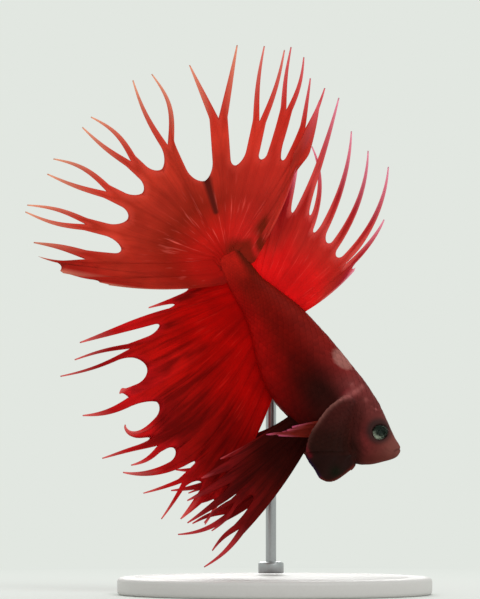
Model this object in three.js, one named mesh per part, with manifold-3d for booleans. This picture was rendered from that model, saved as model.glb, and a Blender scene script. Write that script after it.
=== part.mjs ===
// A red crowntail betta (Betta splendens), life size, flaring with its nose down, held on a display stand.
// Millimetres, +Z up. The snout points to +X, and the fish's right flank faces -Y.
// The origin is the middle of the stand's underside.
import * as THREE from "three";
import { mergeVertices } from "three/addons/utils/BufferGeometryUtils.js";
import Module from "manifold-3d";

const wasm = await Module();
wasm.setup();

const GAP = 0.3; // clearance between neighbouring solids
const FIN_THICKNESS = 0.6;
const TAPER = 0.85; // how a fin's spikes narrow: 1 is straight, more stays wide for longer

// ---------------------------------------------------------------- small helpers

const mix = (a, b, f) => a + (b - a) * f;
const clamp = (v, low = 0, high = 1) => Math.min(high, Math.max(low, v));
const radians = THREE.MathUtils.degToRad;
const ease = (f) => f * f * (3 - 2 * f);

// Smooth interpolation (Catmull-Rom) through the rows of a table, at row number t.
function between(rows, t) {
  const i = clamp(Math.floor(t), 0, rows.length - 2);
  const f = t - i;
  const row = (k) => rows[clamp(k, 0, rows.length - 1)];
  return rows[i].map((b, c) => {
    const [a, d, e] = [row(i - 1)[c], row(i + 1)[c], row(i + 2)[c]];
    return b + 0.5 * f * (d - a + f * (2 * a - 5 * b + 4 * d - e + f * (3 * (b - d) + e - a)));
  });
}

function solidOf(geometry) {
  const bare = new THREE.BufferGeometry().setAttribute("position", geometry.getAttribute("position"));
  if (geometry.index) bare.setIndex(geometry.index);
  const merged = mergeVertices(bare, 1e-3);
  return new wasm.Manifold(new wasm.Mesh({
    numProp: 3,
    vertProperties: merged.attributes.position.array,
    triVerts: new Uint32Array(merged.index.array),
  }));
}

function geometryOf(solid) {
  const mesh = solid.getMesh();
  const geometry = new THREE.BufferGeometry();
  geometry.setAttribute("position", new THREE.BufferAttribute(mesh.vertProperties, 3));
  geometry.setIndex(new THREE.BufferAttribute(mesh.triVerts, 1));
  geometry.computeVertexNormals();
  return geometry;
}

// The volume a closed set of triangles holds, negative when they face inwards.
function volume(points, index) {
  const [a, b, c] = [new THREE.Vector3(), new THREE.Vector3(), new THREE.Vector3()];
  let sum = 0;
  for (let i = 0; i < index.length; i += 3) {
    a.fromBufferAttribute(points, index[i]);
    b.fromBufferAttribute(points, index[i + 1]);
    c.fromBufferAttribute(points, index[i + 2]);
    sum += a.dot(b.cross(c)) / 6;
  }
  return sum;
}

// Collects quads by their corner points and turns them into one closed geometry, facing outwards.
class Quads {
  constructor() {
    this.points = [];
    this.index = [];
  }
  add(a, b, c, d) {
    const first = this.points.length / 3;
    for (const p of [a, b, c, d]) this.points.push(p.x, p.y, p.z);
    this.index.push(first, first + 1, first + 2, first, first + 2, first + 3);
  }
  geometry() {
    const raw = new THREE.BufferGeometry();
    raw.setAttribute("position", new THREE.Float32BufferAttribute(this.points, 3));
    raw.setIndex(this.index);
    const merged = mergeVertices(raw, 1e-4);
    const kept = [];
    const old = merged.index.array;
    for (let i = 0; i < old.length; i += 3) {
      const [a, b, c] = [old[i], old[i + 1], old[i + 2]];
      if (a !== b && b !== c && a !== c) kept.push(a, b, c);
    }
    if (volume(merged.attributes.position, kept) < 0) kept.reverse();
    merged.setIndex(kept);
    merged.computeVertexNormals();
    return merged;
  }
}

// ---------------------------------------------------------------- body

// The middle of the body from snout to tail root: x, z, half depth, half width.
const SPINE = [
  [21.4, 24.5, 0.9, 0.8],
  [19.6, 25.05, 2.35, 1.7],
  [17.4, 26.0, 4.2, 2.6],
  [15.2, 27.3, 5.35, 3.15],
  [12.7, 29.9, 6.15, 3.5],
  [10.4, 32.3, 6.75, 3.8],
  [7.7, 35.0, 7.15, 4.0],
  [5.3, 37.8, 7.25, 3.9],
  [3.2, 41.3, 6.7, 3.5],
  [0.6, 46.0, 5.3, 2.8],
  [-2.0, 49.6, 3.9, 2.1],
  [-4.4, 52.4, 3.1, 1.5],
  [-6.1, 55.1, 2.75, 1.05],
  [-7.9, 58.15, 2.4, 0.65],
];
const LAST = SPINE.length - 1;
const BOW = 1.4; // sideways bow of the body, head and tail towards -Y
const HEAD_END = 5.0; // rows of SPINE where the head, trunk and tail stalk meet
const TRUNK_END = 10.0;
const AROUND = 20; // facets round the body
const PEAR = 0.1; // how much wider the back is than the middle, and how much narrower the belly
const FULL = 0.85; // how full the cross-section is: 1 is an ellipse, less is squarer

const bow = (t) => BOW * (Math.sin((Math.PI * t) / LAST) - 0.5);

// A point of the skin: angle 90 is the back, -90 the belly, 0 the left flank and 180 the right one.
function skin(t, angle, grow = 0) {
  const [x, z, depth, width] = between(SPINE, t);
  const [x0, z0] = between(SPINE, t - 0.02);
  const [x1, z1] = between(SPINE, t + 0.02);
  const run = Math.hypot(x1 - x0, z1 - z0);
  const up = { x: (z1 - z0) / run, z: (x0 - x1) / run };
  const sine = Math.sin(radians(angle));
  const cosine = Math.cos(radians(angle));
  const side = (width * (1 + PEAR * sine) + grow) * Math.sign(cosine) * Math.abs(cosine) ** FULL;
  const rise = (depth + grow) * sine;
  return new THREE.Vector3(x + up.x * rise, bow(t) + side, z + up.z * rise);
}

// Where the flank lies at x, z of the side view: its y on the left (out is 1) or right (-1).
function flankAt(x, z, out) {
  let best = { gap: Infinity };
  for (let t = 0; t <= LAST; t += 0.05) {
    const [cx, cz] = between(SPINE, t);
    const gap = Math.hypot(x - cx, z - cz);
    if (gap < best.gap) best = { gap, t, above: Math.sign(z - cz) };
  }
  const sine = clamp(best.gap / between(SPINE, best.t)[2]) * best.above;
  const angle = THREE.MathUtils.radToDeg(Math.asin(sine));
  return skin(best.t, out > 0 ? angle : 180 - angle).y;
}

// The body between two rows of SPINE, closed by a flat face at each end.
function bodyLength(from, to, rings) {
  const quads = new Quads();
  const ring = (k) => mix(from, to, k / rings);
  const middle = (t) => {
    const [x, z] = between(SPINE, t);
    return new THREE.Vector3(x, bow(t), z);
  };
  for (let j = 0; j < AROUND; j++) {
    const [a, b] = [(360 * j) / AROUND, (360 * ((j + 1) % AROUND)) / AROUND];
    for (let k = 0; k < rings; k++)
      quads.add(skin(ring(k), a), skin(ring(k), b), skin(ring(k + 1), b), skin(ring(k + 1), a));
    quads.add(middle(from), skin(from, b), skin(from, a), middle(from));
    quads.add(middle(to), skin(to, a), skin(to, b), middle(to));
  }
  return quads.geometry();
}

// ---------------------------------------------------------------- fins

// A ray leaves its root at one heading and turns to another: evenly over its length where bend is 1,
// near its tip where bend is large, and near its root where bend is small.
function rayPath(root, ray) {
  const steps = 30;
  const reach = 1.1;
  const heading = (r) => radians(ray.start + (ray.end - ray.start) * r ** ray.bend);
  const points = [[root.x, root.z]];
  for (let k = 0; k < steps; k++) {
    const [x, z] = points[k];
    const middle = heading(((k + 0.5) * reach) / steps);
    const step = (ray.length * reach) / steps;
    points.push([x + step * Math.cos(middle), z + step * Math.sin(middle)]);
  }
  return (r) => {
    const [x, z] = between(points, (r * steps) / reach);
    return { x, z, heading: heading(r) };
  };
}

// How far a web's edge still reaches out past its notch: 1 in the notch, falling as a round U.
const notchShape = (f) => 1 - Math.sqrt(clamp(f) * (2 - clamp(f)));
const NOTCH_DEPTH = 1.4; // depth of that U, as a share of half the gap between two rays
const NOTCH_CROWDING = 1.6; // how closely a patch's rows gather in the notch

// Rows of a patch, and the rows where the web's notch and the ray's fork lie.
const webRow = (fin) => Math.round(fin.rows / 3) / fin.rows;
const forkRow = (fin) => Math.round((fin.rows * 7) / 12) / fin.rows;

// Half of a ray with the web beside it, as a patch over (u, v): u runs from the ray to the web's
// middle or the outer edge, v from the root to the tip. Most rays fork into two tips, and the web
// ends in a notch well below them, which gives the crown its spikes.
function finPatch(fin, i, side) {
  const ray = fin.rays[i];
  const next = fin.rays[i + side];
  const own = rayPath(fin.roots(ray.at), ray);
  const neighbour = next && rayPath(fin.roots(next.at), next);
  const webEnd = next ? (side > 0 ? ray.web : next.web) : 0;
  const last = ray.reach[side > 0 ? 1 : 0];
  const stem = (fin.stem * ray.wide) / 4;
  const tip = fin.tip / 2;
  const forked = ray.fork < 1;

  const webMiddle = (r) => {
    const [a, b] = side > 0 ? [own(r), neighbour(r)] : [neighbour(r), own(r)];
    return { x: (a.x + b.x) / 2, z: (a.z + b.z) / 2 };
  };
  const beside = (r, offset) => {
    const p = own(r);
    return {
      x: p.x + side * offset * Math.sin(p.heading),
      z: p.z - side * offset * Math.cos(p.heading),
    };
  };
  const past = (r, from) => clamp((r - from) / (last - from));
  const middleOffset = (r) => {
    const f = past(r, ray.fork);
    return mix(stem, ray.spread / 2, f) + ray.bulge[side > 0 ? 1 : 0] * Math.sin(Math.PI * f);
  };
  const halfWidth = (r) => mix(stem, tip, past(r, ray.fork) ** TAPER);
  const inner = (v) => {
    if (!forked) return { ...own(v * last), r: v * last };
    const row = forkRow(fin);
    const r = v < row ? (ray.fork * v) / row : mix(ray.fork, last, (v - row) / (1 - row));
    return { ...beside(r, middleOffset(r) - halfWidth(r)), r };
  };
  const outerEdge = (r) => {
    if (forked) return beside(r, middleOffset(r) + halfWidth(r));
    return beside(r, mix(2 * stem, tip, past(r, webEnd) ** TAPER));
  };
  const [rim, notchEnd] = next ? [outerEdge(webEnd), webMiddle(webEnd)] : [];
  const notch = next && (NOTCH_DEPTH * Math.hypot(notchEnd.x - rim.x, notchEnd.z - rim.z)) / ray.length;
  const outer = (v) => {
    if (!next) return { ...outerEdge(v * last), r: v * last, share: 0.1 };
    const row = webRow(fin);
    if (v <= row) {
      const r = (webEnd * v) / row;
      return { ...webMiddle(r), r, share: 1 };
    }
    const r = mix(webEnd, last, ((v - row) / (1 - row)) ** NOTCH_CROWDING);
    const left = notchShape((r - webEnd) / notch);
    const edge = outerEdge(r);
    return {
      x: edge.x + (notchEnd.x - rim.x) * left,
      z: edge.z + (notchEnd.z - rim.z) * left,
      r,
      share: left,
    };
  };
  const halfway = next ? (next.at - ray.at) / 2 : side * 0.05;
  const leanHalfway = next ? (next.lean - ray.lean) / 2 : 0;
  return (u, v) => {
    const [a, b] = [inner(v), outer(v)];
    const part = b.share * u;
    const r = mix(a.r, b.r, u);
    const y = fin.sway(ray.at + halfway * part, r) + (ray.lean + leanHalfway * part) * r * r;
    return new THREE.Vector3(mix(a.x, b.x, u), y, mix(a.z, b.z, u));
  };
}

function finGeometry(fin) {
  const quads = new Quads();
  const half = new THREE.Vector3(0, FIN_THICKNESS / 2, 0);
  const front = (p) => p.clone().sub(half);
  const back = (p) => p.clone().add(half);
  const wall = (a, b) => quads.add(front(a), front(b), back(b), back(a));
  const past = (v, row) => v >= row - 1e-9;
  fin.rays.forEach((ray, i) => {
    for (const side of [-1, 1]) {
      const patch = finPatch(fin, i, side);
      for (let k = 0; k < fin.rows; k++) {
        const [v, w] = [k / fin.rows, (k + 1) / fin.rows];
        const corners = [patch(0, v), patch(1, v), patch(1, w), patch(0, w)];
        const [a, b, c, d] = side > 0 ? corners : [corners[1], corners[0], corners[3], corners[2]];
        quads.add(front(a), front(d), front(c), front(b));
        quads.add(back(a), back(b), back(c), back(d));
        const outerFree = !fin.rays[i + side] || past(v, webRow(fin));
        const innerFree = ray.fork < 1 && past(v, forkRow(fin));
        if (side > 0 ? outerFree : innerFree) wall(b, c);
        if (side > 0 ? innerFree : outerFree) wall(d, a);
        if (k === 0) wall(a, b);
        if (k === fin.rows - 1) wall(c, d);
      }
    }
  });
  return quads.geometry();
}

// Fills in a ray's usual values: where its root lies (0 to 1 along the fin's base), its headings in
// degrees, its length, where it forks, how far apart its tips end, how far each tip bows out and
// reaches, and where the web between it and the next ray stops. Fork, reach and web are shares of the
// length, and pairs give the tip nearer the ray before first.
const ray = (at, start, end, length, more = {}) => ({
  at, start, end, length,
  bend: 1, fork: 0.69, spread: 2.6, bulge: [0.4, 0.4], reach: [1, 1], web: 0.54, wide: 1, lean: 0,
  ...more,
});
const single = { fork: 1, spread: 0 };

// A root line on the back or the belly, just clear of the skin.
const ridge = (from, to, angle) => (q) => {
  const p = skin(mix(from, to, q), angle, 1.4 * GAP);
  return { x: p.x, z: p.z };
};

// Tail fin: thirteen rays, lower lobe first. The first two grow from the stalk's lower edge and the last
// two from its upper edge, the others are fanned round its end.
const TAIL_ROOT = { heading: 120, low: 2.5, high: 2.2, clear: 0.7, fan: 0.08, back: 0.93 };
const tailFin = {
  rows: 12, stem: 2.4, tip: 0.4,
  roots: (q) => {
    if (q < TAIL_ROOT.fan) {
      const p = skin(mix(12, 13, q / TAIL_ROOT.fan), -90, mix(0.42, 1.35, q / TAIL_ROOT.fan));
      return { x: p.x, z: p.z };
    }
    if (q >= TAIL_ROOT.back) {
      const f = (q - TAIL_ROOT.back) / (1 - TAIL_ROOT.back);
      const p = skin(mix(13, 12.2, f), 90, mix(1.0, 0.45, f));
      return { x: p.x, z: p.z };
    }
    const [x, z] = SPINE[LAST];
    const [c, s] = [Math.cos(radians(TAIL_ROOT.heading)), Math.sin(radians(TAIL_ROOT.heading))];
    const offset = mix(TAIL_ROOT.low, -TAIL_ROOT.high, (q - TAIL_ROOT.fan) / (1 - TAIL_ROOT.fan));
    return { x: x + c * TAIL_ROOT.clear - s * offset, z: z + s * TAIL_ROOT.clear + c * offset };
  },
  rays: [
    ray(0.0, 190, 172, 19.7, { ...single, wide: 0.3, web: 0.95 }),
    ray(0.04, 186, 174, 26.2, { ...single, wide: 0.5, web: 0.95 }),
    ray(0.08, 188, 166, 30.8, { fork: 0.72, spread: 2.2, reach: [0.98, 1.02], wide: 1.3, web: 0.51 }),
    ray(0.17, 166, 165, 33.6, { spread: 1.2, bulge: [0.6, 0.6], wide: 0.9, web: 0.51 }),
    ray(0.27, 146, 158, 32.7, { fork: 0.68, spread: 2.8, bulge: [0.4, 0.9], web: 0.53 }),
    ray(0.37, 131, 140, 32.4, { spread: 2.3, bulge: [0.4, 0.9], web: 0.55 }),
    ray(0.48, 122, 108, 33.3, { fork: 0.63, spread: 3.4, bulge: [0.4, 1.6], web: 0.39 }),
    ray(0.59, 93, 95, 33.6, { fork: 0.68, spread: 8.4, bulge: [0, 0], reach: [0.96, 1.04], wide: 1.3, web: 0.43 }),
    ray(0.69, 76, 79, 35.3, { fork: 0.64, spread: 3.5, wide: 0.95, web: 0.46 }),
    ray(0.77, 61, 82, 35.6, { fork: 0.72, spread: 2.4, reach: [1.02, 0.98], wide: 0.85, web: 0.52 }),
    ray(0.85, 54, 81, 31.8, { bend: 2, fork: 0.75, spread: 2.7, bulge: [0.2, 0], reach: [1.02, 0.98], wide: 0.8, web: 0.61 }),
    ray(0.93, 52, 76, 27.9, { ...single, bend: 1.2, wide: 1.2, web: 0.61 }),
    ray(1.0, 50, 109, 27.6, { ...single, bend: 2, reach: [0.64, 0.64], wide: 0.4 }),
  ],
  // The upper lobe leans to the right flank, in front of the back fin, with a fold near its middle.
  sway: (q, r) => bow(LAST) - 0.8 * r - 6.5 * ease(clamp((q - 0.4) / 0.6)) * r
    + 1.2 * Math.sin(17 * q + 0.4) * r ** 1.5,
};

// Back fin: set far back, its spikes curving up, rear ray first.
const backFin = {
  rows: 9, stem: 1.5, tip: 0.4,
  roots: ridge(11.7, 9.0, 90),
  rays: [
    ray(0.0, 148, 55, 14.6, { ...single, bend: 0.6, wide: 0.3, web: 0.8 }),
    ray(0.14, 77, 74, 17.5, { ...single, web: 0.8 }),
    ray(0.29, 70, 78, 20.5, { ...single, web: 0.49 }),
    ray(0.45, 66, 76, 33.8, { ...single, bend: 1.5, lean: -0.6, web: 0.47 }),
    ray(0.55, 56, 116, 26.0, { ...single, bend: 2, wide: 0.8, lean: 0.6, web: 0.41 }),
    ray(0.66, 54, 88, 30.4, { ...single, bend: 1.6, web: 0.38 }),
    ray(0.76, 43, 89, 29.2, { ...single, bend: 1.5, web: 0.36 }),
    ray(0.86, 35, 86, 29.0, { ...single, bend: 1.5, web: 0.43 }),
    ray(0.94, 37, 64, 20.7, { ...single, bend: 2, web: 0.76 }),
    ray(1.0, 30, 47, 10.8, { ...single, wide: 0.5 }),
  ],
  sway: (q, r) => mix(bow(11.5) + 0.3, bow(9), q) + 2.6 * r * (1 - 0.6 * q) + 0.6 * Math.sin(9 * q) * r ** 1.5,
};

// Anal fin: runs along the belly from the vent to the tail stalk, front ray first.
const analFin = {
  rows: 12, stem: 2.0, tip: 0.4,
  roots: ridge(7.05, 12.2, -90),
  rays: [
    ray(0.0, 250, 236, 24.5, { ...single, wide: 0.5, web: 0.8 }),
    ray(0.07, 249, 226, 26.9, { ...single, web: 0.72 }),
    ray(0.15, 245, 215, 29.1, { fork: 0.78, spread: 5.4, bulge: [0, 0], wide: 0.9, web: 0.63 }),
    ray(0.25, 245, 168, 32.0, { ...single, bend: 2, web: 0.68 }),
    ray(0.35, 245, 196, 31.5, { fork: 0.76, spread: 2.5, reach: [0.93, 1.07], wide: 1.2, web: 0.82 }),
    ray(0.46, 225, 80, 28.9, { ...single, bend: 12, wide: 1.2, web: 0.67 }),
    ray(0.6, 230, 190, 32.0, { fork: 0.76, spread: 2.2, reach: [1.02, 0.8], wide: 1.6, web: 0.6 }),
    ray(0.75, 208, 195, 30.9, { fork: 0.64, spread: 2.1, reach: [1.05, 0.95], wide: 0.9, web: 0.47 }),
    ray(0.84, 199, 198, 27.1, { ...single, wide: 1.1, web: 0.52 }),
    ray(0.91, 196, 195, 13.9, { ...single, wide: 0.4 }),
  ],
  sway: (q, r) => mix(bow(7), bow(12.2), q) + 1.3 * Math.sin(13 * q + 0.8) * r ** 1.4 + 0.6 * r,
};

// Pelvic fins: one each side under the breast, leading ray first. out is 1 on the left, -1 on the right,
// and sweep turns the fin's tips.
const PELVIC_ROOT = { from: 5.2, to: 6.0, off: 15, clear: 0.55 };
const pelvicFin = (out, sweep) => ({
  rows: 7, stem: 1.6, tip: 0.4,
  roots: (q) => {
    const p = skin(mix(PELVIC_ROOT.from, PELVIC_ROOT.to, q), -90 + out * PELVIC_ROOT.off, PELVIC_ROOT.clear);
    return { x: p.x, z: p.z };
  },
  rays: [
    ray(0.0, 242, 220 + sweep, 28.8, { fork: 0.7, spread: 1.2, wide: 1.4, reach: [1, 0.9], web: 0.56 }),
    ray(0.2, 227, 222 + sweep, 23.1, { fork: 0.74, spread: 1.9, web: 0.66 }),
    ray(0.4, 226, 213 + sweep, 25.2, { ...single, web: 0.66 }),
    ray(0.6, 224, 204 + sweep, 22.8, { ...single, web: 0.72 }),
    ray(0.8, 220, 202 + sweep, 18.4, { ...single, web: 0.8 }),
    ray(1.0, 215, 205 + sweep, 13.6, { ...single, wide: 0.5 }),
  ],
  sway: (q, r) => skin(PELVIC_ROOT.to, -90 + out * PELVIC_ROOT.off, PELVIC_ROOT.clear).y
    + out * (3.4 * r + 0.5 * Math.sin(8 * q + 1) * r),
});

// Pectoral fins: small, swept back behind the gill covers. The last ray is the upper edge.
const PECTORAL_ROOT = { row: 4.9, low: -62, high: -28, clear: 0.9 };
const pectoralFin = (out) => ({
  rows: 6, stem: 0.8, tip: 0.3,
  roots: (q) => {
    const down = mix(PECTORAL_ROOT.low, PECTORAL_ROOT.high, q);
    const p = skin(PECTORAL_ROOT.row, out > 0 ? down : 180 - down, PECTORAL_ROOT.clear);
    return { x: p.x, z: p.z };
  },
  rays: [0, 0.33, 0.67, 1].map((q) =>
    ray(q, mix(198, 183, q), mix(206, 198, q), mix(6.6, 8.6, q), { ...single, web: 0.85 })),
  sway: (q, r) => skin(PECTORAL_ROOT.row, out > 0 ? -40 : 220, PECTORAL_ROOT.clear + 0.2).y
    + out * (2.4 * r - 0.5 * (q - 0.5) * r),
});

// ---------------------------------------------------------------- gill covers and membranes

// A bent sheet over (u, v) in 0..1, thickened to both sides along its own normal.
function sheetGeometry(point, across, down, thickness) {
  const quads = new Quads();
  const step = 1e-3;
  const face = (i, j, sign) => {
    const [u, v] = [i / across, j / down];
    const du = point(Math.min(u + step, 1), v).sub(point(Math.max(u - step, 0), v));
    const dv = point(u, Math.min(v + step, 1)).sub(point(u, Math.max(v - step, 0)));
    return point(u, v).addScaledVector(du.cross(dv).normalize(), (sign * thickness) / 2);
  };
  for (let i = 0; i < across; i++)
    for (let j = 0; j < down; j++) {
      quads.add(face(i, j, 1), face(i + 1, j, 1), face(i + 1, j + 1, 1), face(i, j + 1, 1));
      quads.add(face(i, j, -1), face(i, j + 1, -1), face(i + 1, j + 1, -1), face(i + 1, j, -1));
    }
  const wall = (i, j, k, l) => quads.add(face(i, j, -1), face(k, l, -1), face(k, l, 1), face(i, j, 1));
  for (let i = 0; i < across; i++) {
    wall(i, 0, i + 1, 0);
    wall(i + 1, down, i, down);
  }
  for (let j = 0; j < down; j++) {
    wall(across, j, across, j + 1);
    wall(0, j + 1, 0, j);
  }
  return quads.geometry();
}

// The cover's hinge on the cheek and its free rear edge, each as x, z from top to bottom.
const HINGE = [[14.1, 33.0], [13.7, 30.8], [13.3, 28.4], [13.1, 26.0], [13.4, 24.2]];
const COVER_EDGE = [[12.2, 34.4], [9.2, 32.3], [7.1, 29.6], [5.6, 26.9], [5.1, 24.4]];
const FLARE = 4.6; // how far the free edge stands out from the cheek
const COVER_THICKNESS = 0.6;

const coverPoint = (out) => (u, v) => {
  const [hx, hz] = between(HINGE, v * 4);
  const [ex, ez] = between(COVER_EDGE, v * 4);
  const cheek = flankAt(hx, hz, out) + out * (COVER_THICKNESS / 2 + 1.6 * GAP);
  const flare = FLARE * mix(0.35, 1, Math.sin(Math.PI * mix(0.05, 0.7, v)));
  return new THREE.Vector3(
    mix(hx, ex, u),
    cheek + out * flare * Math.sin((u * Math.PI) / 2),
    mix(hz, ez, u) + 0.3 * Math.sin(Math.PI * u),
  );
};

// The membrane hangs from the cover's lower edge as a dark bib below the throat.
const BIB_TOP = [[13.0, 23.5], [10.6, 23.6], [8.2, 23.9], [5.0, 23.9]];
const BIB_EDGE = [[13.6, 21.9], [11.6, 20.2], [9.2, 19.2], [7.6, 20.0]];
const bibPoint = (out) => (u, v) => {
  const [tx, tz] = between(BIB_TOP, u * 3);
  const [ex, ez] = between(BIB_EDGE, u * 3);
  const top = mix(2.7, 6.7, Math.sin((u * Math.PI) / 2));
  const edge = mix(1.7, 4.2, u);
  return new THREE.Vector3(mix(tx, ex, v), bow(4.5) + out * mix(top, edge, v ** 1.4), mix(tz, ez, v));
};

// ---------------------------------------------------------------- head details

const EYE = { x: 17.8, z: 28.1, out: 1.85, radius: 1.75, depth: 0.8 };
const POCKET = { x: 10.2, z: 29.2, out: 4.4, size: [2.6, 1.9, 3.9] }; // the hollow behind a gill cover
const MOUTH = { x: 19.3, z: 24.35, front: 24.75, throat: 16.6, reach: 24, floor: 20 }; // the jaw's slit
const eyeCentre = (out) => new THREE.Vector3(EYE.x, bow(2.3) + out * EYE.out, EYE.z);

function ball(centre, radius, stretch = [1, 1, 1], segments = 12) {
  const geometry = new THREE.SphereGeometry(radius, segments, segments - 4);
  geometry.scale(...stretch);
  geometry.translate(centre.x, centre.y, centre.z);
  return geometry;
}

// The lower jaw is what lies below the mouth's slit, from the lips to the jaw's corner.
function jawTool(grow) {
  const outline = new THREE.Shape([
    new THREE.Vector2(MOUTH.reach, MOUTH.front + grow),
    new THREE.Vector2(MOUTH.x - grow, MOUTH.z + grow),
    new THREE.Vector2(MOUTH.throat - grow, MOUTH.floor),
    new THREE.Vector2(MOUTH.reach, MOUTH.floor),
  ]);
  const tool = new THREE.ExtrudeGeometry(outline, { depth: 12, bevelEnabled: false });
  tool.rotateX(Math.PI / 2);
  tool.translate(0, 6, 0);
  return tool;
}

function headPieces() {
  const whole = solidOf(bodyLength(0, HEAD_END, 12));
  const jaw = whole.intersect(solidOf(jawTool(0)));
  let head = whole.subtract(solidOf(jawTool(GAP)));
  for (const out of [-1, 1]) {
    head = head.subtract(solidOf(ball(eyeCentre(out), EYE.radius + GAP, [1, EYE.depth, 1])));
    const pocket = new THREE.Vector3(POCKET.x, bow(HEAD_END) + out * POCKET.out, POCKET.z);
    head = head.subtract(solidOf(ball(pocket, 1, POCKET.size, 10)));
  }
  return { head: geometryOf(head), jaw: geometryOf(jaw) };
}

// ---------------------------------------------------------------- stand

const BASE = { radius: 27, height: 3, bevel: 0.6 };
const ROD = { radius: 0.9, x: -0.6, y: 13, bend: 4, top: 43.4 };
const PAD = { radius: 1.7, thickness: 0.9 };
const COLLAR = { radius: 2.2, height: 2 };

function turned(profile, segments) {
  const geometry = new THREE.LatheGeometry(profile.map(([r, z]) => new THREE.Vector2(r, z)), segments);
  return geometry.rotateX(Math.PI / 2);
}

function baseGeometry() {
  const { radius, height, bevel } = BASE;
  return turned([
    [0, 0], [radius - bevel / 2, 0], [radius, bevel / 2],
    [radius, height - bevel], [radius - bevel, height], [0, height],
  ], 36);
}

function rodGeometry(flank) {
  const path = new THREE.CurvePath();
  const start = new THREE.Vector3(ROD.x, ROD.y, BASE.height + GAP);
  const low = new THREE.Vector3(ROD.x, ROD.y, ROD.top - ROD.bend);
  const corner = new THREE.Vector3(ROD.x, ROD.y, ROD.top);
  const high = new THREE.Vector3(ROD.x, ROD.y - ROD.bend, ROD.top);
  const end = new THREE.Vector3(ROD.x, flank + PAD.thickness + 2 * GAP, ROD.top);
  path.add(new THREE.LineCurve3(start, low));
  path.add(new THREE.QuadraticBezierCurve3(low, corner, high));
  path.add(new THREE.LineCurve3(high, end));
  const section = new THREE.Shape().absarc(0, 0, ROD.radius, 0, Math.PI * 2);
  return new THREE.ExtrudeGeometry(section, { steps: 18, extrudePath: path, curveSegments: 4 });
}

function collarGeometry() {
  const inside = ROD.radius + GAP;
  const { radius, height } = COLLAR;
  const geometry = turned([
    [inside, 0], [radius, 0], [radius, height - 0.5], [radius - 0.5, height], [inside, height], [inside, 0],
  ], 16);
  return geometry.translate(ROD.x, ROD.y, BASE.height + GAP);
}

function padGeometry(flank) {
  const { radius, thickness } = PAD;
  const geometry = turned([
    [0, 0], [radius, 0], [radius, thickness / 2], [ROD.radius, thickness], [0, thickness],
  ], 16);
  return geometry.rotateX(-Math.PI / 2).translate(ROD.x, flank + GAP, ROD.top);
}

// How far out the left flank comes within the pad's reach.
function flankBehindPad() {
  let reach = -Infinity;
  for (let t = 6; t <= 11; t += 0.05)
    for (let angle = -80; angle <= 80; angle += 4) {
      const p = skin(t, angle);
      if (Math.hypot(p.x - ROD.x, p.z - ROD.top) < PAD.radius + 0.3) reach = Math.max(reach, p.y);
    }
  return reach;
}

// ---------------------------------------------------------------- assembly

const colours = {
  body: [0x5a0f0d, 0.45], fin: [0xb5130f, 0.5], bib: [0x1d0908, 0.6],
  eye: [0x0d1512, 0.15], base: [0xcfcbc4, 0.5], steel: [0xa9adb0, 0.3],
};
const materials = Object.fromEntries(Object.entries(colours).map(([name, [color, roughness]]) =>
  [name, new THREE.MeshStandardMaterial({ color, roughness, metalness: name === "steel" ? 1 : 0 })]));

const fish = new THREE.Group();
function place(name, geometry, material) {
  const mesh = new THREE.Mesh(geometry, materials[material]);
  mesh.name = name;
  fish.add(mesh);
}

const seam = 0.045; // rows of SPINE that leave GAP between two lengths of the body
const { head, jaw } = headPieces();
place("head", head, "body");
place("lower_jaw", jaw, "body");
place("trunk", bodyLength(HEAD_END + 2 * seam, TRUNK_END - seam, 12), "body");
place("tail_stalk", bodyLength(TRUNK_END + seam, LAST, 6), "body");
place("tail_fin", finGeometry(tailFin), "fin");
place("dorsal_fin", finGeometry(backFin), "fin");
place("anal_fin", finGeometry(analFin), "fin");
for (const [side, out] of [["right", -1], ["left", 1]]) {
  place(`eye_${side}`, ball(eyeCentre(out), EYE.radius, [1, EYE.depth, 1]), "eye");
  place(`gill_cover_${side}`, sheetGeometry(coverPoint(out), 6, 6, COVER_THICKNESS), "body");
  place(`gill_membrane_${side}`, sheetGeometry(bibPoint(out), 8, 5, 0.6), "bib");
  place(`pelvic_fin_${side}`, finGeometry(pelvicFin(out, out > 0 ? -28 : 0)), "fin");
  place(`pectoral_fin_${side}`, finGeometry(pectoralFin(out)), "fin");
}
const flank = flankBehindPad();
place("stand_base", baseGeometry(), "base");
place("stand_collar", collarGeometry(), "steel");
place("stand_rod", rodGeometry(flank), "steel");
place("stand_pad", padGeometry(flank), "steel");

export default fish;
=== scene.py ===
"""A red crowntail betta (Betta splendens), life size, flaring with its nose down on a display stand.

The fish is worked out in millimetres in the model's own frame: the snout points to +X, the right flank
faces -Y, and the origin is the middle of the stand's underside. Meshes are scaled to metres when made.
"""
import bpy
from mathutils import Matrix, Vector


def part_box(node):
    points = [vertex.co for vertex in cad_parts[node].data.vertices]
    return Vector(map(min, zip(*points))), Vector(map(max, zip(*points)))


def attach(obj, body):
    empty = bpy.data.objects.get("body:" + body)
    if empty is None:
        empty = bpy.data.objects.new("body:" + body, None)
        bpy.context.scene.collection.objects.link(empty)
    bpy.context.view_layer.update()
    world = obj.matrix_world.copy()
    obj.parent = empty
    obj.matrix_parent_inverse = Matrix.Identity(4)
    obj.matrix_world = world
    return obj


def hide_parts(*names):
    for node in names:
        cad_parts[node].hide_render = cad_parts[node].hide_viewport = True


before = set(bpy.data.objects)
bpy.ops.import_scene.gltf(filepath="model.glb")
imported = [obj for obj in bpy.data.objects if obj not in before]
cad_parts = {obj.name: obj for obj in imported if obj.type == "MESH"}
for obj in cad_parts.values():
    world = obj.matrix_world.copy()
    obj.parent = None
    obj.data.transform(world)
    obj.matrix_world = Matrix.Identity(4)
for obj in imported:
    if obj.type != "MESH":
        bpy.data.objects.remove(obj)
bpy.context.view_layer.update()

from types import SimpleNamespace

import bmesh
import bpy
import numpy as np
from mathutils import Matrix, Vector
from mathutils.bvhtree import BVHTree

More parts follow.
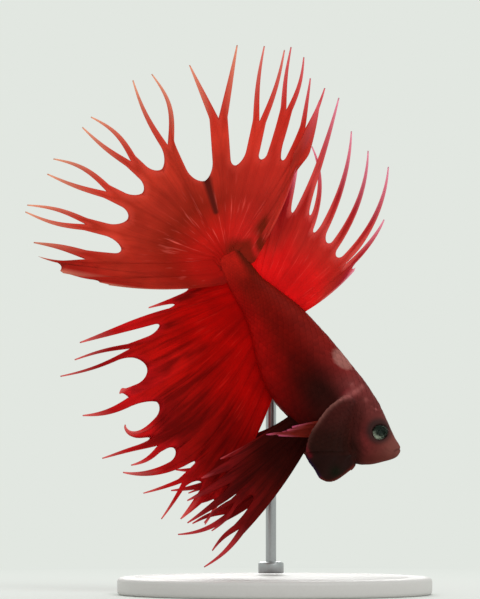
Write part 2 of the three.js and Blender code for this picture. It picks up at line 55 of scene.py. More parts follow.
MM = 0.001
COAT = 0.12  # depth of the scales over the skin

# ---------------------------------------------------------------- numbers


def mix(a, b, f):
    return a + (b - a) * f


def clamp(v, low=0.0, high=1.0):
    return np.minimum(high, np.maximum(low, v))


def ease(f):
    f = clamp(f)
    return f * f * (3 - 2 * f)


def bump(distance, width):
    """A round bump: 1 at distance 0, nearly 0 at two widths."""
    return np.exp(-((distance / width) ** 2))


def between(rows, t):
    """Smooth interpolation (Catmull-Rom) through the rows of a table, at row numbers t."""
    rows = np.asarray(rows, float)
    t = np.atleast_1d(np.asarray(t, float))
    i = np.clip(np.floor(t).astype(int), 0, len(rows) - 2)
    f = (t - i)[:, None]
    last = len(rows) - 1
    a = rows[np.clip(i - 1, 0, last)]
    b = rows[i]
    d = rows[i + 1]
    e = rows[np.clip(i + 2, 0, last)]
    return b + 0.5 * f * (d - a + f * (2 * a - 5 * b + 4 * d - e + f * (3 * (b - d) + e - a)))


# ---------------------------------------------------------------- body shape

# The middle of the body from snout to tail root: x, z, half depth, half width.
SPINE = np.array([
    [21.4, 24.5, 0.9, 0.8],
    [19.6, 25.05, 2.35, 1.7],
    [17.4, 26.0, 4.2, 2.6],
    [15.2, 27.3, 5.35, 3.15],
    [12.7, 29.9, 6.15, 3.5],
    [10.4, 32.3, 6.75, 3.8],
    [7.7, 35.0, 7.15, 4.0],
    [5.3, 37.8, 7.25, 3.9],
    [3.2, 41.3, 6.7, 3.5],
    [0.6, 46.0, 5.3, 2.8],
    [-2.0, 49.6, 3.9, 2.1],
    [-4.4, 52.4, 3.1, 1.5],
    [-6.1, 55.1, 2.75, 1.05],
    [-7.9, 58.15, 2.4, 0.65],
])
LAST = len(SPINE) - 1
BOW = 1.4  # sideways bow of the body, head and tail towards -Y


def bow(t):
    return BOW * (np.sin(np.pi * t / LAST) - 0.5)


def skin(t, angle, grow=0.0):
    """Points of the skin as an (n, 3) array: angle 90 is the back, -90 the belly, 0 left and 180 right."""
    t = np.atleast_1d(np.asarray(t, float))
    x, z, depth, width = between(SPINE, t).T
    step = (between(SPINE, t + 0.02) - between(SPINE, t - 0.02))[:, :2]
    run = np.hypot(step[:, 0], step[:, 1])
    sine = np.sin(np.radians(angle))
    cosine = np.cos(np.radians(angle))
    side = (width * (1 + 0.1 * sine) + grow) * np.sign(cosine) * np.abs(cosine) ** 0.85
    rise = (depth + grow) * sine
    return np.column_stack((x + step[:, 1] / run * rise, bow(t) + side, z - step[:, 0] / run * rise))


def on_spine(x, z):
    """The row number on SPINE nearest to each x, z, and the signed height off it as a share of the depth."""
    rows = np.arange(0, LAST + 0.01, 0.02)
    line = between(SPINE, rows)
    t = np.empty(len(x))
    share = np.empty(len(x))
    for start in range(0, len(x), 8000):
        part = slice(start, start + 8000)
        dx = x[part, None] - line[None, :, 0]
        dz = z[part, None] - line[None, :, 1]
        gap = np.hypot(dx, dz)
        best = gap.argmin(axis=1)
        pick = np.arange(len(best))
        t[part] = rows[best]
        share[part] = gap[pick, best] * np.sign(dz[pick, best]) / line[best, 2]
    return t, share


def flank_at(x, z, out):
    """How far out the flank lies at each x, z: its y on the left (out is 1) or right (-1)."""
    t, share = on_spine(np.atleast_1d(x), np.atleast_1d(z))
    angle = np.degrees(np.arcsin(clamp(share, -1, 1)))
    return skin(t, angle if out > 0 else 180 - angle)[:, 1]


# ---------------------------------------------------------------- meshes


def grid_verts(bm, across, down):
    """Adds a flat grid and returns its vertices with their u and v, each from 0 to 1."""
    made = bmesh.ops.create_grid(bm, x_segments=across, y_segments=down, size=0.5)["verts"]
    flat = np.array([v.co[:2] for v in made])
    return made, flat[:, 0] + 0.5, flat[:, 1] + 0.5


def place(verts, points):
    for vert, point in zip(verts, points):
        vert.co = point


def sealed(bm, dist=1e-4):
    """Merges the vertices that lie on one another and turns the faces outwards."""
    bmesh.ops.remove_doubles(bm, verts=bm.verts, dist=dist)
    bmesh.ops.recalc_face_normals(bm, faces=bm.faces)


def spun(bm, profile, steps):
    """Turns a profile of (radius, height) rows round the Z axis and closes its poles."""
    verts = [bm.verts.new((radius, 0, height)) for radius, height in profile]
    edges = [bm.edges.new(pair) for pair in zip(verts, verts[1:])]
    bmesh.ops.spin(
        bm, geom=verts + edges, axis=(0, 0, 1), cent=(0, 0, 0), dvec=(0, 0, 0),
        angle=2 * np.pi, steps=steps, use_merge=True,
    )
    sealed(bm)


def crisp(bm, angle=0.9):
    """Keeps shading from running smoothly over edges that turn by more than the angle, in radians."""
    for edge in bm.edges:
        if edge.calc_face_angle(0) > angle:
            edge.smooth = False


def add_object(name, data):
    made = bpy.data.objects.new(name, data)
    bpy.context.scene.collection.objects.link(made)
    return made


def piece(bm, name, material, replaces=()):
    """Scales a bmesh from millimetres to metres and makes it a smooth piece that rides on the frame."""
    bmesh.ops.scale(bm, vec=(MM, MM, MM), verts=bm.verts)
    mesh = bpy.data.meshes.new(name)
    bm.to_mesh(mesh)
    bm.free()
    for polygon in mesh.polygons:
        polygon.use_smooth = True
    mesh.materials.append(material)
    made = add_object(name, mesh)
    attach(made, "root")
    if replaces:
        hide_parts(*replaces)


# ---------------------------------------------------------------- fins

WEB_ROW = 1 / 3  # where, along a patch, the web's notch and the ray's fork lie
FORK_ROW = 7 / 12
FIN_ROWS = 60
BURIED_ROWS = 3
TAPER = 1.1  # how a fin's spikes narrow: 1 is straight, more stays wide for longer
NOTCH_DEPTH = 1.4  # depth of a web's notch, as a share of half the gap between two rays
NOTCH_CROWDING = 1.6  # how closely a patch's rows gather in the notch
THIN_EDGE = 0.35  # how far in from its free edges a fin thins
EDGE_BAND = 2.0  # how far in from the free edges the edge field rises from 0 to 1


def ray(at, start, end, length, **more):
    """A fin ray's values: where its root lies (0 to 1 along the fin's base), its headings in degrees at
    root and tip, its length, how late it bends, where it forks, how far apart its tips end, how far each
    tip bows out and reaches, where the web to the next ray stops, how wide its stem is against the fin's
    others, and how far its tip leans aside. Fork, reach and web are shares of the length, and pairs give
    the tip nearer the ray before first."""
    values = dict(
        at=at, start=start, end=end, length=length, bend=1, fork=0.69, spread=2.6, bulge=(0.4, 0.4),
        reach=(1, 1), web=0.54, wide=1, lean=0,
    )
    values.update(more)
    return SimpleNamespace(**values)


SINGLE = {"fork": 1, "spread": 0}


def fin(**more):
    """A fin's values: the width of a ray's stem and tip, faces across half a web, the half thickness of
    web, spike and ray, how far webs sink between rays, and functions for its roots and its lie."""
    values = dict(stem=2.0, tip=0.22, across=8, web_half=0.05, spike_half=0.09, ridge=0.12, pleat=0.14)
    values.update(more)
    return SimpleNamespace(**values)


def ray_path(shape, ray):
    """A ray leaves its root at one heading and turns to another: evenly over its length where bend is 1,
    near its tip where bend is large, and near its root where bend is small. The buried end behind the
    root runs straight into the body, against the outward heading."""
    root = shape.roots(ray.at)
    outward = np.radians(shape.outward(ray.at))
    out_x, out_z = np.cos(outward), np.sin(outward)
    steps = 30
    reach = 1.1

    def heading(r):
        return np.radians(ray.start + (ray.end - ray.start) * np.maximum(r, 0) ** ray.bend)

    turns = heading((np.arange(steps) + 0.5) * reach / steps)
    step = ray.length * reach / steps
    x = root[0] + np.concatenate(([0], np.cumsum(step * np.cos(turns))))
    z = root[1] + np.concatenate(([0], np.cumsum(step * np.sin(turns))))
    points = np.column_stack((x, z))

    def path(r):
        outside = np.maximum(r, 0)
        inside = (r - outside) * ray.length
        p = between(points, outside * steps / reach)
        return p[:, 0] + inside * out_x, p[:, 1] + inside * out_z, heading(r)

    return path


def notch_shape(f):
    """How far a web's edge still reaches out past its notch: 1 in the notch, falling as a round U."""
    f = clamp(f)
    return 1 - np.sqrt(f * (2 - f))


def fin_patch(shape, i, side):
    """Half of a ray with the web beside it, over (u, v): u runs from the ray to the web's middle or the
    outer edge, v from the root to the tip. Returns a function giving the patch's points and lie."""
    ray = shape.rays[i]
    beyond = i + side
    neighbour = shape.rays[beyond] if 0 <= beyond < len(shape.rays) else None
    own = ray_path(shape, ray)
    other = ray_path(shape, neighbour) if neighbour else None
    web_end = (ray.web if side > 0 else neighbour.web) if neighbour else 0
    last = ray.reach[1 if side > 0 else 0]
    stem = shape.stem * ray.wide / 4
    tip = shape.tip / 2
    forked = ray.fork < 1

    def web_middle(r):
        ax, az, _ = own(r)
        bx, bz, _ = other(r)
        return (ax + bx) / 2, (az + bz) / 2

    def beside(r, offset):
        x, z, heading = own(r)
        return x + side * offset * np.sin(heading), z - side * offset * np.cos(heading)

    def past(r, start):
        return clamp((r - start) / (last - start))

    def middle_offset(r):
        f = past(r, ray.fork)
        return mix(stem, ray.spread / 2, f) + ray.bulge[1 if side > 0 else 0] * np.sin(np.pi * f)

    def half_width(r):
        return mix(stem, tip, past(r, ray.fork) ** TAPER)

    def inner(v):
        if not forked:
            x, z, _ = own(v * last)
            return x, z, v * last
        beyond_fork = (v - FORK_ROW) / (1 - FORK_ROW)
        r = np.where(v < FORK_ROW, ray.fork * v / FORK_ROW, mix(ray.fork, last, beyond_fork))
        x, z = beside(r, middle_offset(r) - half_width(r))
        return x, z, r

    def outer_edge(r):
        if forked:
            return beside(r, middle_offset(r) + half_width(r))
        return beside(r, mix(2 * stem, tip, past(r, web_end) ** TAPER))

    if neighbour:
        rim = np.array(outer_edge(np.array([web_end])))
        notch_end = np.array(web_middle(np.array([web_end])))
        reach_x, reach_z = (notch_end - rim)[:, 0]
        notch = NOTCH_DEPTH * np.hypot(reach_x, reach_z) / ray.length

    def outer(v):
        if neighbour is None:
            x, z = outer_edge(v * last)
            return x, z, v * last, np.full_like(v, 0.1)
        beyond_web = clamp((v - WEB_ROW) / (1 - WEB_ROW)) ** NOTCH_CROWDING
        r = np.where(v <= WEB_ROW, web_end * v / WEB_ROW, mix(web_end, last, beyond_web))
        mx, mz = web_middle(r)
        left = np.where(v <= WEB_ROW, 1.0, notch_shape((r - web_end) / notch))
        ex, ez = outer_edge(r)
        x = np.where(v <= WEB_ROW, mx, ex + reach_x * left)
        z = np.where(v <= WEB_ROW, mz, ez + reach_z * left)
        return x, z, r, left

    halfway = (neighbour.at - ray.at) / 2 if neighbour else side * 0.05
    lean_halfway = (neighbour.lean - ray.lean) / 2 if neighbour else 0

    def lie(u, v):
        ax, az, ar = inner(v)
        bx, bz, br, share = outer(v)
        part = share * u
        r = mix(ar, br, u)
        x = mix(ax, bx, u)
        z = mix(az, bz, u)
        q = ray.at + halfway * part
        grown = np.maximum(r, 0)
        y = shape.sway(q, grown) + (ray.lean + lean_halfway * part) * grown * r
        width = np.hypot(bx - ax, bz - az)
        # The ray's own ridge lies at u 0, and after a fork in the middle of its branch.
        centre = 0.5 * ease((r - ray.fork + 0.15) / 0.15) if forked else 0
        off_ray = np.abs(u - centre) * width
        ridge = bump(off_ray, np.clip(0.4 * width, 0.08, 0.3)) * np.where(v <= WEB_ROW, 1 - u ** 4, 1)
        # Distances to the free edges: past the web's notch, past the fork, and at the tip and the root.
        to_tip = (last - r) * ray.length
        to_side = (1 - u) * width
        to_notch = np.hypot(to_side, (web_end - br) * ray.length)
        to_outer = np.where(v >= WEB_ROW, to_side, to_notch) if neighbour else to_side
        to_inner = np.hypot(u * width, np.maximum(ray.fork - ar, 0) * ray.length) if forked else 9.0
        free = np.minimum(np.minimum(to_tip, to_outer), to_inner)
        spike = past(br, web_end) if neighbour else clamp(r)
        root_end = clamp((v * FIN_ROWS + BURIED_ROWS) / 2)
        thick = mix(shape.web_half, shape.spike_half, spike) + shape.ridge * (1 - 0.55 * clamp(r)) * ridge
        half = thick * np.sqrt(clamp(free / THIN_EDGE)) * root_end
        # Webs sink a little between their rays, more towards the edge.
        pleat = shape.pleat * np.cos(np.pi * u) * clamp(r) * (1 - ease(spike * 4))
        return SimpleNamespace(x=x, y=y - pleat, z=z, half=half, along=r / last, across=q, ray=ridge,
                               spike=spike, edge=clamp(free / EDGE_BAND))

    return lie


def fin_piece(shape, name, material, replaces):
    """A fin as one closed shell: every patch has a front and a back sheet, which meet at the free edges."""
    bm = bmesh.new()
    fields = {key: bm.verts.layers.float.new(key) for key in ("along", "across", "ray", "spike", "edge")}
    for i in range(len(shape.rays)):
        for side in (-1, 1):
            lie = fin_patch(shape, i, side)
            for face in (-1, 1):
                verts, u, v = grid_verts(bm, shape.across, FIN_ROWS + BURIED_ROWS)
                v = (v * (FIN_ROWS + BURIED_ROWS) - BURIED_ROWS) / FIN_ROWS
                p = lie(u, v)
                # A slight ripple runs over every fin, in the same places on both of its sheets.
                wave = 0.16 * np.sin(0.83 * p.x + 0.37 * p.z) * np.sin(0.31 * p.x - 0.71 * p.z)
                y = p.y + wave * clamp(p.along * 2) + face * p.half
                place(verts, np.column_stack((p.x, y, p.z)))
                for key, layer in fields.items():
                    for vert, value in zip(verts, np.broadcast_to(getattr(p, key), u.shape)):
                        vert[layer] = value
    sealed(bm, 2e-4)
    piece(bm, name, material, replaces)


def ridge_line(start, end, angle):
    """A root line along the back or the belly."""

    def roots(q):
        p = skin(mix(start, end, q), angle, 0.15)[0]
        return p[0], p[2]

    return roots


# The stalk's end: its heading, how far the rays' roots are fanned below and above it and stand clear of
# it, and the shares of the roots at which the fan begins and ends.
TAIL_ROOT = SimpleNamespace(heading=np.radians(120), low=2.5, high=2.2, clear=0.7, fan=0.08, back=0.93)


def tail_roots(q):
    """The first two rays grow from the stalk's lower edge and the last two from its upper edge, the others
    are fanned round its end."""
    if q < TAIL_ROOT.fan:
        p = skin(mix(12, 13, q / TAIL_ROOT.fan), -90, mix(0.42, 1.35, q / TAIL_ROOT.fan))[0]
        return p[0], p[2]
    if q >= TAIL_ROOT.back:
        f = (q - TAIL_ROOT.back) / (1 - TAIL_ROOT.back)
        p = skin(mix(13, 12.2, f), 90, mix(1.0, 0.45, f))[0]
        return p[0], p[2]
    x, z = SPINE[LAST, :2]
    c, s = np.cos(TAIL_ROOT.heading), np.sin(TAIL_ROOT.heading)
    offset = mix(TAIL_ROOT.low, -TAIL_ROOT.high, (q - TAIL_ROOT.fan) / (1 - TAIL_ROOT.fan))
    return x + c * TAIL_ROOT.clear - s * offset, z + s * TAIL_ROOT.clear + c * offset


def tail_outward(q):
    """The heading straight out of the stalk's lower edge, its upper edge or its end."""
    if q < TAIL_ROOT.fan:
        return 212
    return 32 if q >= TAIL_ROOT.back else 120


def tail_sway(q, r):
    """The upper lobe leans to the right flank, in front of the back fin, with a fold near its middle."""
    lobe = 6.5 * ease((q - 0.4) / 0.6) * r
    return bow(LAST) - 0.8 * r - lobe + 1.2 * np.sin(17 * q + 0.4) * r ** 1.5


TAIL_FIN = fin(
    stem=2.4, roots=tail_roots, outward=tail_outward, sway=tail_sway,
    rays=[
        ray(0.0, 190, 172, 19.7, **SINGLE, wide=0.3, web=0.95),
        ray(0.04, 186, 174, 26.2, **SINGLE, wide=0.5, web=0.95),
        ray(0.08, 188, 166, 30.8, fork=0.72, spread=2.2, reach=(0.98, 1.02), wide=1.3, web=0.51),
        ray(0.17, 166, 165, 33.6, spread=1.2, bulge=(0.6, 0.6), wide=0.9, web=0.51),
        ray(0.27, 146, 158, 32.7, fork=0.68, spread=2.8, bulge=(0.4, 0.9), web=0.53),
        ray(0.37, 131, 140, 32.4, spread=2.3, bulge=(0.4, 0.9), web=0.55),
        ray(0.48, 122, 108, 33.3, fork=0.63, spread=3.4, bulge=(0.4, 1.6), web=0.39),
        ray(0.59, 93, 95, 33.6, fork=0.68, spread=8.4, bulge=(0, 0), reach=(0.96, 1.04), wide=1.3, web=0.43),
        ray(0.69, 76, 79, 35.3, fork=0.64, spread=3.5, wide=0.95, web=0.46),
        ray(0.77, 61, 82, 35.6, fork=0.72, spread=2.4, reach=(1.02, 0.98), wide=0.85, web=0.52),
        ray(0.85, 54, 81, 31.8, bend=2, fork=0.75, spread=2.7, bulge=(0.2, 0), reach=(1.02, 0.98), wide=0.8,
            web=0.61),
        ray(0.93, 52, 76, 27.9, **SINGLE, bend=1.2, wide=1.2, web=0.61),
        ray(1.0, 60, 96, 27.6, **SINGLE, bend=2, reach=(0.62, 0.62), wide=0.4),
    ],
)


def back_sway(q, r):
    return mix(bow(11.5) + 0.3, bow(9), q) + 2.6 * r * (1 - 0.6 * q) + 0.6 * np.sin(9 * q) * r ** 1.5


BACK_FIN = fin(
    stem=1.5, pleat=0.12, roots=ridge_line(12.15, 9.0, 90), outward=lambda q: 35, sway=back_sway,
    rays=[
        ray(0.0, 66, 56, 11.6, **SINGLE, wide=0.5, web=0.9),
        ray(0.1, 78, 62, 13.4, **SINGLE, wide=0.5, web=0.85),
        ray(0.26, 77, 74, 17.5, **SINGLE, web=0.8),
        ray(0.39, 70, 78, 20.5, **SINGLE, web=0.49),
        ray(0.53, 66, 76, 33.8, **SINGLE, bend=1.5, lean=-0.6, web=0.47),
        ray(0.61, 56, 116, 26.0, **SINGLE, bend=2, wide=0.8, lean=0.6, web=0.41),
        ray(0.71, 54, 88, 30.4, **SINGLE, bend=1.6, web=0.38),
        ray(0.79, 43, 89, 29.2, **SINGLE, bend=1.5, web=0.36),
        ray(0.88, 35, 86, 29.0, **SINGLE, bend=1.5, web=0.43),
        ray(0.95, 37, 64, 20.7, **SINGLE, bend=2, web=0.76),
        ray(1.0, 30, 47, 10.8, **SINGLE, wide=0.5),
    ],
)


def anal_sway(q, r):
    return mix(bow(7), bow(12.2), q) + 1.3 * np.sin(13 * q + 0.8) * r ** 1.4 + 0.6 * r


ANAL_FIN = fin(
    roots=ridge_line(7.05, 12.2, -90), outward=lambda q: 213, sway=anal_sway,
    rays=[
        ray(0.0, 250, 236, 24.5, **SINGLE, wide=0.5, web=0.8),
        ray(0.07, 249, 226, 26.9, **SINGLE, web=0.72),
        ray(0.15, 245, 215, 29.1, fork=0.78, spread=5.4, bulge=(0, 0), wide=0.9, web=0.63),
        ray(0.25, 245, 168, 32.0, **SINGLE, bend=2, web=0.68),
        ray(0.35, 245, 196, 31.5, fork=0.76, spread=2.5, reach=(0.93, 1.07), wide=1.2, web=0.82),
        ray(0.46, 225, 80, 28.9, **SINGLE, bend=12, wide=1.2, web=0.67),
        ray(0.6, 230, 190, 32.0, fork=0.76, spread=2.2, reach=(1.02, 0.8), wide=1.6, web=0.6),
        ray(0.75, 208, 195, 30.9, fork=0.64, spread=2.1, reach=(1.05, 0.95), wide=0.9, web=0.47),
        ray(0.84, 199, 198, 27.1, **SINGLE, wide=1.1, web=0.52),
        ray(0.91, 196, 195, 13.9, **SINGLE, wide=0.4, web=0.75),
        ray(1.0, 193, 190, 5.6, **SINGLE, wide=0.4),
    ],
)

PELVIC_ROOT = SimpleNamespace(start=5.0, end=6.0, off=15, clear=0.3)


def pelvic_fin(out, sweep):
    """One of the two fins under the breast, leading ray first. sweep turns the fin's tips."""
    beside_belly = -90 + out * PELVIC_ROOT.off

    def roots(q):
        p = skin(mix(PELVIC_ROOT.start, PELVIC_ROOT.end, q), beside_belly, PELVIC_ROOT.clear)[0]
        return p[0], p[2]

    def sway(q, r):
        y = skin(PELVIC_ROOT.end, beside_belly, PELVIC_ROOT.clear)[0, 1]
        return y + out * (3.4 * r + 0.5 * np.sin(8 * q + 1) * r)

    return fin(
        stem=1.6, ridge=0.11, pleat=0.1, roots=roots, outward=lambda q: 235, sway=sway,
        rays=[
            ray(0.0, 242, 220 + sweep, 28.8, fork=0.7, spread=1.2, wide=1.4, reach=(1, 0.9), web=0.56),
            ray(0.2, 227, 222 + sweep, 23.1, fork=0.74, spread=1.9, web=0.66),
            ray(0.4, 226, 213 + sweep, 25.2, **SINGLE, web=0.66),
            ray(0.6, 224, 204 + sweep, 22.8, **SINGLE, web=0.72),
            ray(0.8, 220, 202 + sweep, 18.4, **SINGLE, web=0.8),
            ray(1.0, 215, 205 + sweep, 13.6, **SINGLE, wide=0.5),
        ],
    )


PECTORAL_ROOT = SimpleNamespace(row=4.9, low=-62, high=-28, clear=0.9)


def pectoral_fin(out):
    """A small pale fin swept back behind a gill cover. The last ray is its upper edge."""

    def roots(q):
        down = mix(PECTORAL_ROOT.low, PECTORAL_ROOT.high, q)
        p = skin(PECTORAL_ROOT.row, down if out > 0 else 180 - down, PECTORAL_ROOT.clear)[0]
        return p[0], p[2]

    def sway(q, r):
        y = skin(PECTORAL_ROOT.row, -40 if out > 0 else 220, PECTORAL_ROOT.clear + 0.2)[0, 1]
        return y + out * (2.4 * r - 0.5 * (q - 0.5) * r)

    def finger(q):
        return ray(q, mix(181, 187, q), mix(179, 191, q), 8.0 if 0.2 < q < 0.5 else 5.2, **SINGLE, web=0.92)

    return fin(
        stem=0.8, tip=0.3, web_half=0.04, spike_half=0.06, ridge=0.07, pleat=0.05,
        roots=roots, outward=lambda q: 190, sway=sway, rays=[finger(q) for q in (0, 0.33, 0.67, 1)],
    )


# ---------------------------------------------------------------- gill covers and membranes

# The cover's hinge on the cheek and its free rear edge, each as x, z from top to bottom.
HINGE = [[14.1, 33.0], [13.7, 30.8], [13.3, 28.4], [13.1, 26.0], [13.4, 24.2]]
COVER_EDGE = [[12.2, 34.4], [9.2, 32.3], [7.1, 29.6], [5.6, 26.9], [5.1, 24.4]]
FLARE = 4.6  # how far the free edge stands out from the cheek


def cover_point(out, u, v):
    """A point of the cover's middle: u runs from the hinge to the free edge, v from the top down."""
    hx, hz = between(HINGE, v * 4).T
    ex, ez = between(COVER_EDGE, v * 4).T
    rows = np.linspace(0, 1, 41)
    hinge = between(HINGE, rows * 4)
    cheek = np.interp(v, rows, flank_at(hinge[:, 0], hinge[:, 1], out))
    # The hinge and the top of the cover sink into the head, so that they grow out of it.
    sunk = 1.3 * (1 - ease(u / 0.42)) + 1.1 * (1 - ease(v / 0.16)) * u
    flare = FLARE * mix(0.35, 1, np.sin(np.pi * mix(0.05, 0.7, v)))
    y = cheek + out * (0.78 - sunk + flare * np.sin(u * np.pi / 2))
    return np.column_stack((mix(hx, ex, u), y, mix(hz, ez, u) + 0.3 * np.sin(np.pi * u)))


# The membrane hangs from the cover's lower edge as a dark bib below the throat.
BIB_TOP = [[13.0, 23.8], [10.6, 23.75], [8.2, 23.9], [5.0, 23.9]]
BIB_EDGE = [[13.6, 21.9], [11.6, 20.2], [9.2, 19.2], [7.6, 20.0]]


def bib_point(out, u, v):
    """A point of the membrane's middle: u runs rearwards, v from the cover down to the free edge."""
    tx, tz = between(BIB_TOP, u * 3).T
    ex, ez = between(BIB_EDGE, u * 3).T
    top = mix(2.7, 6.7, np.sin(u * np.pi / 2))
    edge = mix(1.7, 4.2, u)
    down = np.sign(v) * np.abs(v) ** 1.4
    y = bow(4.5) + out * mix(top, edge, down)
    return np.column_stack((mix(tx, ex, v), y, mix(tz, ez, v)))


def shell(bm, point, thickness, across, down, front=0.0, top=0.0):
    """Adds a bent sheet over (u, v) as a closed shell, thinning to a round edge all round. thickness gives
    its front's and its rear's, and front and top are the u and v at which it begins."""
    step = 1e-3
    for face in (-1, 1):
        verts, u, v = grid_verts(bm, across, down)
        edge = np.minimum(np.minimum(u, 1 - u), np.minimum(v, 1 - v))
        u = mix(front, 1, u)
        v = mix(top * (1 - 0.5 * clamp(u) ** 2), 1, v)
        du = point(u + step, v) - point(u - step, v)
        dv = point(u, v + step) - point(u, v - step)
        normal = np.cross(du, dv)
        normal /= np.linalg.norm(normal, axis=1)[:, None]
        half = mix(*thickness, u) / 2 * np.sqrt(clamp(edge / 0.06))
        place(verts, point(u, v) + face * normal * half[:, None])


# ---------------------------------------------------------------- skin

EYE = SimpleNamespace(x=18.0, z=27.85, out=1.75, radius=1.5, row=2.3)  # row is the eye's place on SPINE
VOXEL = 0.16
# Ellipsoids that fill the throat between the cheek, the gill cover and the bib: x, the row on SPINE, how
# far they lie aside, z, and their half sizes.
THROAT = ((12.5, 3, 1.9, 24.4, (1.7, 0.95, 1.1)), (11.7, 4, 3.4, 24.1, (1.5, 0.8, 0.65)))


def body_rings(bm):
    """The body as one closed tube, rounded off at the lips and run out thin into the tail fin."""
    verts, u, v = grid_verts(bm, 72, 260)
    t = mix(-0.12, LAST + 0.28, v)
    tip = np.sqrt(1 - clamp((0.45 - t) / 0.57) ** 2)
    tail = np.sqrt(1 - clamp((t - LAST + 1.4) / 1.68) ** 2)
    angle = 360 * u
    middle = between(SPINE, t)
    centre = np.column_stack((middle[:, 0], bow(t), middle[:, 1]))
    full = skin(t, angle, 0.04 - (COAT + 0.04) * ease((t - 1.6) / 1.4))
    points = centre + (full - centre) * np.minimum(tip, 1)[:, None]
    points[:, 1] = bow(t) + (points[:, 1] - bow(t)) * tail
    points[:, 0::2] = centre[:, 0::2] + (points[:, 0::2] - centre[:, 0::2]) * (tail ** 0.4)[:, None]
    place(verts, points)


def remeshed(bm, voxel, rounds):
    """Fuses overlapping closed shells into one even skin and relaxes it."""
    rough = bpy.data.meshes.new("rough_skin")
    bm.to_mesh(rough)
    bm.free()
    holder = add_object("rough_skin", rough)
    fuse = holder.modifiers.new("fuse", "REMESH")
    fuse.mode = "VOXEL"
    fuse.voxel_size = voxel
    fuse.adaptivity = 0
    relax = holder.modifiers.new("relax", "SMOOTH")
    relax.factor = 0.5
    relax.iterations = rounds
    graph = bpy.context.evaluated_depsgraph_get()
    mesh = bpy.data.meshes.new_from_object(holder.evaluated_get(graph))
    bpy.data.objects.remove(holder)
    fused = bmesh.new()
    fused.from_mesh(mesh)
    bpy.data.meshes.remove(mesh)
    bpy.data.meshes.remove(rough)
    return fused


def nearest(x, z, rows, points=60):
    """How far each x, z lies from the smooth curve through some rows, taken at so many points."""
    curve = between(rows, np.linspace(0, len(rows) - 1, points))
    return np.min(np.hypot(x[:, None] - curve[None, :, 0], z[:, None] - curve[None, :, 1]), axis=1)


MOUTH = np.array([[21.9, 24.98], [21.0, 24.85], [20.3, 24.5]])  # the lips' line in the side view
NOSTRILS = ((20.0, 27.45, 0.16, -0.26), (19.45, 28.75, 0.13, -0.18))  # x, z, size and depth
PORES = ((17.3, 31.6), (16.3, 33.0), (15.9, 29.9), (15.6, 27.6), (16.6, 25.9), (18.9, 30.1))  # x, z
CHEEK_EDGE = [[15.2, 32.6], [14.5, 30.6], [14.2, 28.2], [14.4, 25.8], [15.6, 24.4]]
JAW_FOLD = [[19.5, 24.5], [18.9, 24.9], [18.5, 25.5]]
COVER_RIDGES = 26  # fine ridges fanned over the gill cover
BIB_RIDGES = 13  # the rays under the throat's membrane
FAN_CENTRE = (14.3, 30.6)  # where both sets of ridges would meet


def head_details(points, normals):
    """Sculpts the mouth, eye rims, nostrils, pores and jaw into skin points along their normals."""
    x, y, z = points.T
    share = on_spine(x, z)[1]
    lift = np.zeros(len(x))
    fields = skin_fields(points)
    head = x > 14
    seam = nearest(x, z, MOUTH, 40)
    above = z > np.interp(x, MOUTH[::-1, 0], MOUTH[::-1, 1])
    lips = ease((x - 20.1) / 0.6)
    lift += lips * (0.03 * bump(seam - 0.4, 0.22) - 0.12 * bump(seam, 0.14) - 0.03 * above)
    # The forehead runs down straight above the eyes.
    brow = 0.26 * bump(np.hypot(x - 18.9, z - 30.7), 0.6)
    dip = 0.12 * bump(np.hypot(x - 18.5, z - 32.0), 0.5)
    lift += ease((share - 0.35) / 0.4) * (brow - dip)
    for out in (-1, 1):
        flat = np.hypot(x - EYE.x, z - EYE.z)
        near = ease((out * (y - bow(EYE.row)) - 0.6) / 0.8)
        lift += near * (0.06 * bump(flat - 1.75, 0.25) - 0.7 * ease((1.5 - flat) / 0.4))
        for nx, nz, size, depth in NOSTRILS:
            far = np.hypot(x - nx, z - nz)
            lift += near * (depth * bump(far, size) + 0.07 * bump(far - size * 1.7, size * 0.7))
        lift += near * head * (-0.1 * bump(nearest(x, z, JAW_FOLD, 30), 0.16))
        # The cheek's rear edge stands a little above the gill cover's hinge.
        cheek = nearest(x, z, CHEEK_EDGE, 50)
        lift += near * (-0.08 * bump(cheek, 0.2) + 0.05 * bump(cheek - 0.45, 0.3))
        for px, pz in PORES:
            lift += near * -0.1 * bump(np.hypot(x - px, z - pz), 0.13)
    fan = np.arctan2(z - FAN_CENTRE[1], x - FAN_CENTRE[0])
    lift += 0.03 * fields["cover"] * np.sin(COVER_RIDGES * fan)
    lift += 0.05 * fields["bib"] * np.sin(BIB_RIDGES * 2 * fan + 0.9)
    return points + normals * lift[:, None]


def skin_fields(points):
    """Where skin or scale points lie on the fish: the row and the share of the depth on the spine, how far
    they belong to the gill cover, its rim, the bib and its hem, and 1 for the right flank, 0 for the left."""
    x, y, z = points.T
    t, share = on_spine(x, z)
    body = skin(t, np.degrees(np.arcsin(clamp(share, -1, 1))))[:, 1] - bow(t)
    lifted = clamp((np.abs(y - bow(t)) - np.abs(body) - 0.3) / 1.1)
    lifted = lifted * ease((15.4 - x) / 1.4) * ease((35.0 - z) / 1.2)
    membrane = ease((24.6 - z) / 1.0) * np.maximum(lifted, ease((23.2 - z) / 0.8)) * ease((14.6 - x) / 1.4)
    rim = bump(nearest(x, z, COVER_EDGE), 0.5) * lifted
    hem = bump(nearest(x, z, BIB_EDGE), 0.35) * membrane
    return {
        "row": t,
        "share": share,
        "cover": lifted * (1 - membrane),
        "bib": clamp(membrane),
        "rim": clamp(rim) * (1 - membrane),
        "hem": clamp(hem),
        "right": ease((bow(t) - y + 0.2) / 0.4),
    }


# ---------------------------------------------------------------- markings


def paint(red, green, blue):
    """A colour given as 0 to 255, as linear light."""
    shares = [level / 255 for level in (red, green, blue)]
    return tuple(v / 12.92 if v <= 0.04 else ((v + 0.055) / 1.055) ** 2.4 for v in shares) + (1,)


